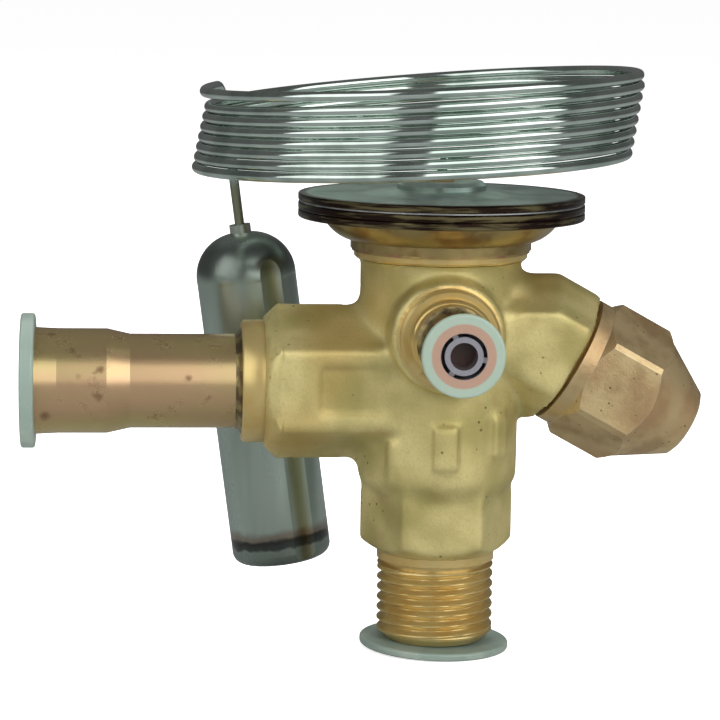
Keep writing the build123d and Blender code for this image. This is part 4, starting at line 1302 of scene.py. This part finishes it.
@dataclass
class ValveBody:
    """Forging with its threaded inlet end.

    Attributes:
        thread_radius: Outside radius of the inlet thread, in metres.
        thread_length: Length of the thread from the origin, in metres.
        pitch: Distance from one crest to the next, in metres.
        depth: Depth of the thread, in metres.
        crest: Half width of the flat crest, as a share of half the pitch.
        flank: Width of one flank, as a share of half the pitch.
        rows: Rings of points along the thread.
        fade: Length over which the thread runs out at its ends, in metres.
        on_wall: How far off the thread's plain cylinder its corners may lie, in metres.
        level: How far off an end a corner may lie and still be on it, in metres.
        thread_weld: Corners of thread and body closer than this are one, in metres.
        voxel: Edge length of the even mesh of the forging, in metres.
        rounds: Rounds of relaxing.
        sharp: Angle above which an edge is shaded sharp, in degrees.
        soft_zones: How far each part of the forging is rounded.
        cuts: Point and outward normal where each turned end begins.
    """

    finish: bpy.types.Material
    thread_radius: float = 0.0079375
    thread_length: float = 0.0091
    pitch: float = 0.0254 / 18
    depth: float = 0.00082
    crest: float = 0.12
    flank: float = 0.76
    rows: int = 96
    fade: float = 0.0004
    on_wall: float = 1.5e-5
    level: float = 1e-6
    thread_weld: float = 4e-6
    voxel: float = 0.00039
    rounds: int = 34
    sharp: float = 32.0
    soft_zones: SoftZones = SoftZones()
    cuts: tuple[tuple[Point, Point], ...] = (
        ((0.0, 0.0, 0.0110), (0.0, 0.0, -1.0)),
        ((0.0, 0.0, 0.0509), (0.0, 0.0, 1.0)),
        ((-0.0216, 0.0, 0.0), (-1.0, 0.0, 0.0)),
        ((0.0, -0.01295, 0.0), (0.0, -1.0, 0.0)),
    )

    def thread_mesh(self, angles: np.ndarray) -> tuple[np.ndarray, np.ndarray]:
        """Thread surface between the two turned faces of the inlet end.

        The radius at height z and angle a is R - depth * v * f, where v is a clipped
        triangle wave of the phase z / pitch - a / 2 pi, and f fades to 0 at both ends.

        Args:
            angles: Angles of the points of each ring, in radians.

        Returns:
            The points as rows, and the quads as rows of point numbers.
        """
        z = np.linspace(0.0, self.thread_length, self.rows)[:, None]
        phase = (z / self.pitch - angles[None, :] / (2 * np.pi)) % 1.0
        wave = np.abs(phase - 0.5) * 2.0
        valley = np.clip((wave - self.crest) / self.flank, 0.0, 1.0)
        ends = np.minimum(z, self.thread_length - z) / self.fade
        radius = self.thread_radius - self.depth * valley * np.clip(ends, 0.0, 1.0)
        heights = np.broadcast_to(z, radius.shape)
        rings = [radius * np.cos(angles), radius * np.sin(angles), heights]
        return tube_grid(np.stack(rings, axis=-1))

    def forging(self) -> bpy.types.Mesh:
        """Make the forged middle, with soft roots, cut where the turned ends begin.

        Returns:
            The closed mesh of the middle.
        """
        even = remeshed(finished(merged_copy("valve_body"), "plain_forging"), self.voxel)
        relaxed(even, self.soft_zones.at(points_of(even), self.cuts), self.rounds)
        work = bmesh.new()
        work.from_mesh(even)
        for point, normal in self.cuts:
            cut_away(work, point, normal)
        report_mesh("forging", work)
        return finished(work, "forging")

    def on_thread(self, vert: bmesh.types.BMVert) -> bool:
        """Tell whether a corner lies on the plain cylinder that the thread replaces.

        Args:
            vert: The corner.

        Returns:
            True where its radius and its height are both those of the cylinder.
        """
        off_wall = abs(vert.co.xy.length - self.thread_radius)
        top = self.thread_length + self.level
        return off_wall < self.on_wall and -self.level < vert.co.z < top

    def threaded_end(self, work: bmesh.types.BMesh) -> None:
        """Swap the plain cylinder of the inlet end for the thread.

        Args:
            work: Mesh of the whole body, which is changed.
        """
        wall = [face for face in work.faces if all(map(self.on_thread, face.verts))]
        rim = sorted({
            round(math.atan2(vert.co.y, vert.co.x), ANGLE_DIGITS)
            for face in wall for vert in face.verts if vert.co.z < self.level
        })
        bmesh.ops.delete(work, geom=wall, context="FACES")
        points, quads = self.thread_mesh(np.array(rim))
        verts = [work.verts.new(point) for point in points.tolist()]
        for quad in quads.tolist():
            work.faces.new([verts[index] for index in quad])
        bmesh.ops.remove_doubles(work, verts=work.verts, dist=self.thread_weld)

    def turned_end(self, point: Sequence[float], normal: Sequence[float]) -> bpy.types.Mesh:
        """Machined end beyond one cut, with its crisp edges.

        Args:
            point: Any point of the cut.
            normal: Outward normal of the cut.

        Returns:
            The closed mesh of the end.
        """
        work = merged_copy("valve_body")
        if normal[2] < 0:
            self.threaded_end(work)
        cut_away(work, point, tuple(-part for part in normal))
        report_mesh("turned end", work)
        return finished(work, "turned_end")

    def build(self) -> bpy.types.Object:
        """Make the body from its forging and turned ends, in place of the node.

        Returns:
            The new piece.
        """
        work = bmesh.new()
        work.from_mesh(self.forging())
        for point, normal in self.cuts:
            work.from_mesh(self.turned_end(point, normal))
        mesh = finished(work, "forged_body")
        smooth_by_angle(mesh, self.sharp)
        piece = new_piece("forged_body", mesh, self.finish)
        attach(piece, Body.VALVE.value)
        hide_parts("valve_body")
        return piece


@dataclass
class SealCap:
    """Hexagon cap with rounded, worn edges.

    Attributes:
        finish: Material of the faces.
        edge_finish: Material of the worn edges.
        sharp: Angle above which an edge is shaded sharp, in degrees.
        edge_width: Width of the worn edges, in millimetres.
        edge_angle: Angle above which an edge is worn, in degrees.
        edge_steps: Faces across a worn edge.
    """

    finish: bpy.types.Material
    edge_finish: bpy.types.Material
    sharp: float = 28.0
    edge_width: float = 0.16
    edge_angle: float = 24.0
    edge_steps: int = 2

    def wear(self, piece: bpy.types.Object) -> None:
        """Round the sharp edges of the cap and give them the worn material.

        Args:
            piece: The cap, which is changed.
        """
        piece.data.materials.append(self.edge_finish)
        edge = piece.modifiers.new("edges", "BEVEL")
        edge.width = self.edge_width * MM
        edge.segments = self.edge_steps
        edge.limit_method = "ANGLE"
        edge.angle_limit = math.radians(self.edge_angle)
        edge.harden_normals = False
        edge.material = 1

    def build(self) -> bpy.types.Object:
        """Make the cap in place of its node.

        Returns:
            The new piece.
        """
        mesh = finished(merged_copy("seal_cap"), "domed_cap")
        smooth_by_angle(mesh, self.sharp)
        piece = new_piece("domed_cap", mesh, self.finish)
        self.wear(piece)
        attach(piece, Body.CAP.value)
        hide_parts("seal_cap")
        return piece


@dataclass
class WorkingCoil:
    """Spring, or half of one, that shortens between two bodies as the valve works; the copy is
    rigid and rides on no body.

    Attributes:
        name: Name of the new piece.
        node: Spring node of the frame that it stands for.
        follows: Body at the moving end; the other end stays with the valve. Not used.
        still: Height where the coil stops moving with the valve, in metres.
        moved: Height from which it moves with the other body, in metres.
        cut: Height of the plane that bounds a half, or None for a whole spring.
        sharp: Angle above which an edge is shaded sharp, in degrees.
    """

    name: str
    node: str
    follows: Body
    still: float
    moved: float
    cut: Optional[float] = None
    sharp: float = 40.0

    def build(self, finish: bpy.types.Material) -> bpy.types.Object:
        """Make the coil in place of its node.

        Args:
            finish: Material of the wire.

        Returns:
            The new piece.
        """
        work = merged_copy(self.node)
        if self.cut is not None:
            away = 1.0 if self.moved < self.still else -1.0
            cut_away(work, (0.0, 0.0, self.cut), (0.0, 0.0, away))
        mesh = finished(work, self.name)
        smooth_by_angle(mesh, self.sharp)
        piece = new_piece(self.name, mesh, finish)
        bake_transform(piece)
        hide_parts(self.node)
        return piece


@dataclass
class Springs:
    """Both springs, with the superheat spring in two halves; heights are in metres.

    Attributes:
        finish: Material of the wire.
        middle: Height where the halves of the superheat spring meet.
        seat_top: Height of the seat's end of its lower half.
        pad_bottom: Height of the pad's end of its upper half.
        cone_still: Height of the cone spring's resting end.
        cone_moved: Height of the cone's end of the cone spring.
    """

    finish: bpy.types.Material
    middle: float = 0.0511
    seat_top: float = 0.0482
    pad_bottom: float = 0.0540
    cone_still: float = 0.0137
    cone_moved: float = 0.0190

    def build(self) -> list[bpy.types.Object]:
        """Make the coils.

        Returns:
            The new pieces.
        """
        coils = (
            WorkingCoil("superheat_coil_low", "superheat_spring", Body.SEAT,
                        self.middle, self.seat_top, self.middle),
            WorkingCoil("superheat_coil_high", "superheat_spring", Body.STROKE,
                        self.middle, self.pad_bottom, self.middle),
            WorkingCoil("cone_coil", "cone_spring", Body.STROKE,
                        self.cone_still, self.cone_moved),
        )
        return [coil.build(self.finish) for coil in coils]


# ---------------------------------------------------------------------- dressing
OUTLET_SPOTS = (
    Spot((-53.0, -5.5, 30.5), 1.0),
    Spot((-48.5, -6.5, 35.6), 0.5),
    Spot((-45.6, -6.6, 36.6), 0.5),
    Spot((-34.0, -6.2, 35.4), 0.5),
)


def dressing() -> tuple[tuple[bpy.types.Material, tuple[str, ...]], ...]:
    """Finishes of the frame's own nodes.

    Returns:
        Each material with the names of the nodes that wear it.
    """
    return (
        (HeatTintedSteel().build(), ("element_base", "diaphragm_ring", "element_cover")),
        (TurnedMetal("bright_steel", srgb(196, 198, 196), srgb(150, 152, 150)).build(),
         ("diaphragm", "push_pin", "valve_cone", "strainer_screen")),
        (TurnedMetal("turned_brass", srgb(214, 184, 112), srgb(180, 144, 80)).build(),
         ("thrust_pad", "pin_guide", "spring_seat", "setting_spindle", "gland_nut",
          "orifice_housing", "spring_cup", "strainer_ring")),
        (BrazeMetal().build(), ("element_braze", "capillary_collar")),
        (BrazeMetal("tube_braze", srgb(104, 90, 66), srgb(156, 140, 96)).build(),
         ("outlet_braze", "equaliser_braze")),
        (PlatedTube().build(), ("capillary_tube",)),
        (DullBulb().build(), ("sensing_bulb",)),
        (DrawnCopper("outlet_copper", spots=OUTLET_SPOTS).build(), ("outlet_tube",)),
        (DrawnCopper("equaliser_copper").build(), ("equaliser_tube",)),
        (SoftPlug().build(), ("outlet_plug", "inlet_plug")),
        (ZonedPlug().build(), ("equaliser_plug",)),
        (PlainSeal("black_rubber", srgb(28, 28, 28), srgb(48, 48, 46)).build(),
         ("spindle_o_ring",)),
        (PlainSeal("white_gasket", srgb(222, 218, 206), srgb(196, 190, 176), 0.5).build(),
         ("cap_gasket",)),
    )


def dress(node: str, material: bpy.types.Material) -> None:
    """Give every material slot of a frame node its finish."""
    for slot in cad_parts[node].material_slots:
        slot.material = material


# ------------------------------------------------------------------------- stage
@dataclass(frozen=True)
class SoftBox:
    """Large soft lamp; lengths are in metres and power in watts."""

    name: str
    centre: Point
    width: float
    height: float
    power: float


@dataclass
class Studio:
    """Camera, floor, soft lamps and the white background.

    Attributes:
        eye: Place of the camera, in metres.
        yaw: Camera's turn to the right of straight ahead, in radians.
        pitch: Its tilt upwards, in radians.
        roll: Its turn about its own view, in radians.
        lens: Focal length, in millimetres.
        floor_height: Height of the floor, in metres.
        floor_half: Half the side of the floor, in metres.
        floor_back: How far behind the object the floor's middle lies, in metres.
        floor_colour: Colour of the floor.
        floor_mirrored: Darker colour that polished metal sees it in.
        floor_glow: Light that only the camera sees on the floor, so it looks white.
        aim: Point that the lamps face, in metres.
        boxes: The lamps, which polished metal doesn't see.
        left_box: Azimuths in radians where the left box of the sky starts, is full,
            fades and is gone.
        right_box: The same for the right box.
        box_rise: The same for the height of both, as the sine of the elevation.
        left_glow: Light of the left box in mirrored rays.
        right_glow: Light of the right box in mirrored rays.
        room_glow: Light of the dark room in mirrored rays.
        clear_glow: Light of the background through clear pieces.
        fill: Plain light from all round on matt surfaces.
    """

    eye: Point = (-0.04064, -0.37377, 0.09222)
    yaw: float = math.radians(4.58)
    pitch: float = math.radians(-8.38)
    roll: float = math.radians(0.83)
    lens: float = 140.0
    floor_height: float = -0.0026
    floor_half: float = 40.0
    floor_back: float = 0.3
    floor_colour: Colour = (0.86, 0.86, 0.86)
    floor_mirrored: Colour = (0.24, 0.25, 0.25)
    floor_glow: float = 0.72
    aim: Point = (0.0, 0.0, 0.04)
    boxes: tuple[SoftBox, ...] = (
        SoftBox("box_left", (-0.45, -0.65, 0.42), 0.45, 0.45, 3.0),
        SoftBox("box_right", (0.35, -0.70, 0.38), 0.40, 0.45, 5.2),
        SoftBox("box_top", (0.05, 0.25, 0.80), 0.7, 0.7, 6.0),
    )
    left_box: Band = (-1.42, -1.36, -0.42, -0.36)
    right_box: Band = (-0.02, 0.04, 1.24, 1.30)
    box_rise: Band = (-0.02, 0.12, 0.66, 0.86)
    left_glow: float = 1.6
    right_glow: float = 2.15
    room_glow: float = 0.13
    clear_glow: float = 0.9
    fill: float = 0.38

    def camera(self) -> None:
        """Place the camera."""
        ahead = Vector((
            math.sin(self.yaw) * math.cos(self.pitch),
            math.cos(self.yaw) * math.cos(self.pitch),
            math.sin(self.pitch),
        ))
        level = Vector((math.cos(self.yaw), -math.sin(self.yaw), 0.0))
        upright = level.cross(ahead)
        right = level * math.cos(self.roll) + upright * math.sin(self.roll)
        top = upright * math.cos(self.roll) - level * math.sin(self.roll)
        data = bpy.data.cameras.new("camera")
        data.lens = self.lens
        data.sensor_width = 36.0
        data.clip_start = 0.01
        data.clip_end = 20.0
        camera = bpy.data.objects.new("camera", data)
        bpy.context.collection.objects.link(camera)
        turn = Matrix((right, top, -ahead)).transposed().to_4x4()
        camera.matrix_world = Matrix.Translation(self.eye) @ turn
        bpy.context.scene.camera = camera

    def floor_finish(self) -> bpy.types.Material:
        """Make the floor's material, which the camera sees as white.

        Returns:
            The material.
        """
        graph = Graph("pale_floor")
        path = graph.node("ShaderNodeLightPath")
        mirrored = Field(graph, path.outputs["Is Glossy Ray"])
        seen = Field(graph, path.outputs["Is Camera Ray"])
        shade = graph.blend(mirrored, self.floor_colour, self.floor_mirrored)
        matt = graph.node("ShaderNodeBsdfDiffuse", None, {"Color": shade})
        glow = graph.node("ShaderNodeEmission", None, {"Strength": seen * self.floor_glow})
        both = graph.node("ShaderNodeAddShader", None, {0: matt.outputs[0], 1: glow.outputs[0]})
        return graph.close("ShaderNodeOutputMaterial", both)

    def floor(self) -> None:
        """Lay the floor as one square that faces up."""
        half = self.floor_half
        sides = ((-half, -half), (half, -half), (half, half), (-half, half))
        corners = [(x, y + self.floor_back, self.floor_height) for x, y in sides]
        mesh = bpy.data.meshes.new("floor")
        mesh.from_pydata(corners, [], [(0, 1, 2, 3)])
        new_piece("floor", mesh, self.floor_finish())

    def lamps(self) -> None:
        """Hang the soft boxes, each facing the object."""
        for box in self.boxes:
            data = bpy.data.lights.new(box.name, "AREA")
            data.shape = "RECTANGLE"
            data.size = box.width
            data.size_y = box.height
            data.energy = box.power
            lamp = bpy.data.objects.new(box.name, data)
            lamp.visible_glossy = False
            bpy.context.collection.objects.link(lamp)
            facing = Vector(self.aim) - Vector(box.centre)
            turn = facing.to_track_quat("-Z", "Y").to_matrix().to_4x4()
            lamp.matrix_world = Matrix.Translation(box.centre) @ turn

    def world(self) -> None:
        """White background; polished metal sees two wide soft boxes with dark between."""
        sky = SkyGraph("studio")
        x, y, z = (sky.along(way) for way in ((1, 0, 0), (0, 1, 0), (0, 0, 1)))
        azimuth = sky.math("ARCTAN2", x, 0 - y)
        left = azimuth.band(*self.left_box) * self.left_glow
        right = azimuth.band(*self.right_box) * self.right_glow
        mirrored = left.either(right) * z.band(*self.box_rise) + self.room_glow
        path = sky.node("ShaderNodeLightPath")
        glossy = Field(sky, path.outputs["Is Glossy Ray"])
        seen = Field(sky, path.outputs["Is Camera Ray"])
        through = Field(sky, path.outputs["Is Transmission Ray"])
        clear = seen.either(through * self.clear_glow)
        strength = clear + (1 - clear) * (glossy * mirrored + (1 - glossy) * self.fill)
        plain = sky.node("ShaderNodeBackground", None, {"Strength": strength})
        bpy.context.scene.world = sky.close("ShaderNodeOutputWorld", plain)

    def build(self) -> None:
        """Set up the whole stage."""
        self.camera()
        self.world()
        self.floor()
        self.lamps()
        bpy.context.scene.view_settings.view_transform = "Standard"


def main() -> None:
    """Build the stage, the new pieces and the finishes, in order."""
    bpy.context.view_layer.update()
    Studio().build()
    worn = TurnedMetal("worn_edge", srgb(232, 220, 190), srgb(206, 186, 144)).build()
    wire = TurnedMetal("spring_wire", srgb(130, 132, 132), srgb(96, 98, 98)).build()
    pieces = [
        ValveBody(ForgedBrass().build()).build(),
        SealCap(CapBrass().build(), worn).build(),
        *Springs(wire).build(),
    ]
    for piece in pieces:
        log.info("piece %s", piece.name)
    for material, nodes in dressing():
        for node in nodes:
            dress(node, material)
            log.info("node %s gets %s", node, material.name)


if __name__ == "__main__":
    main()
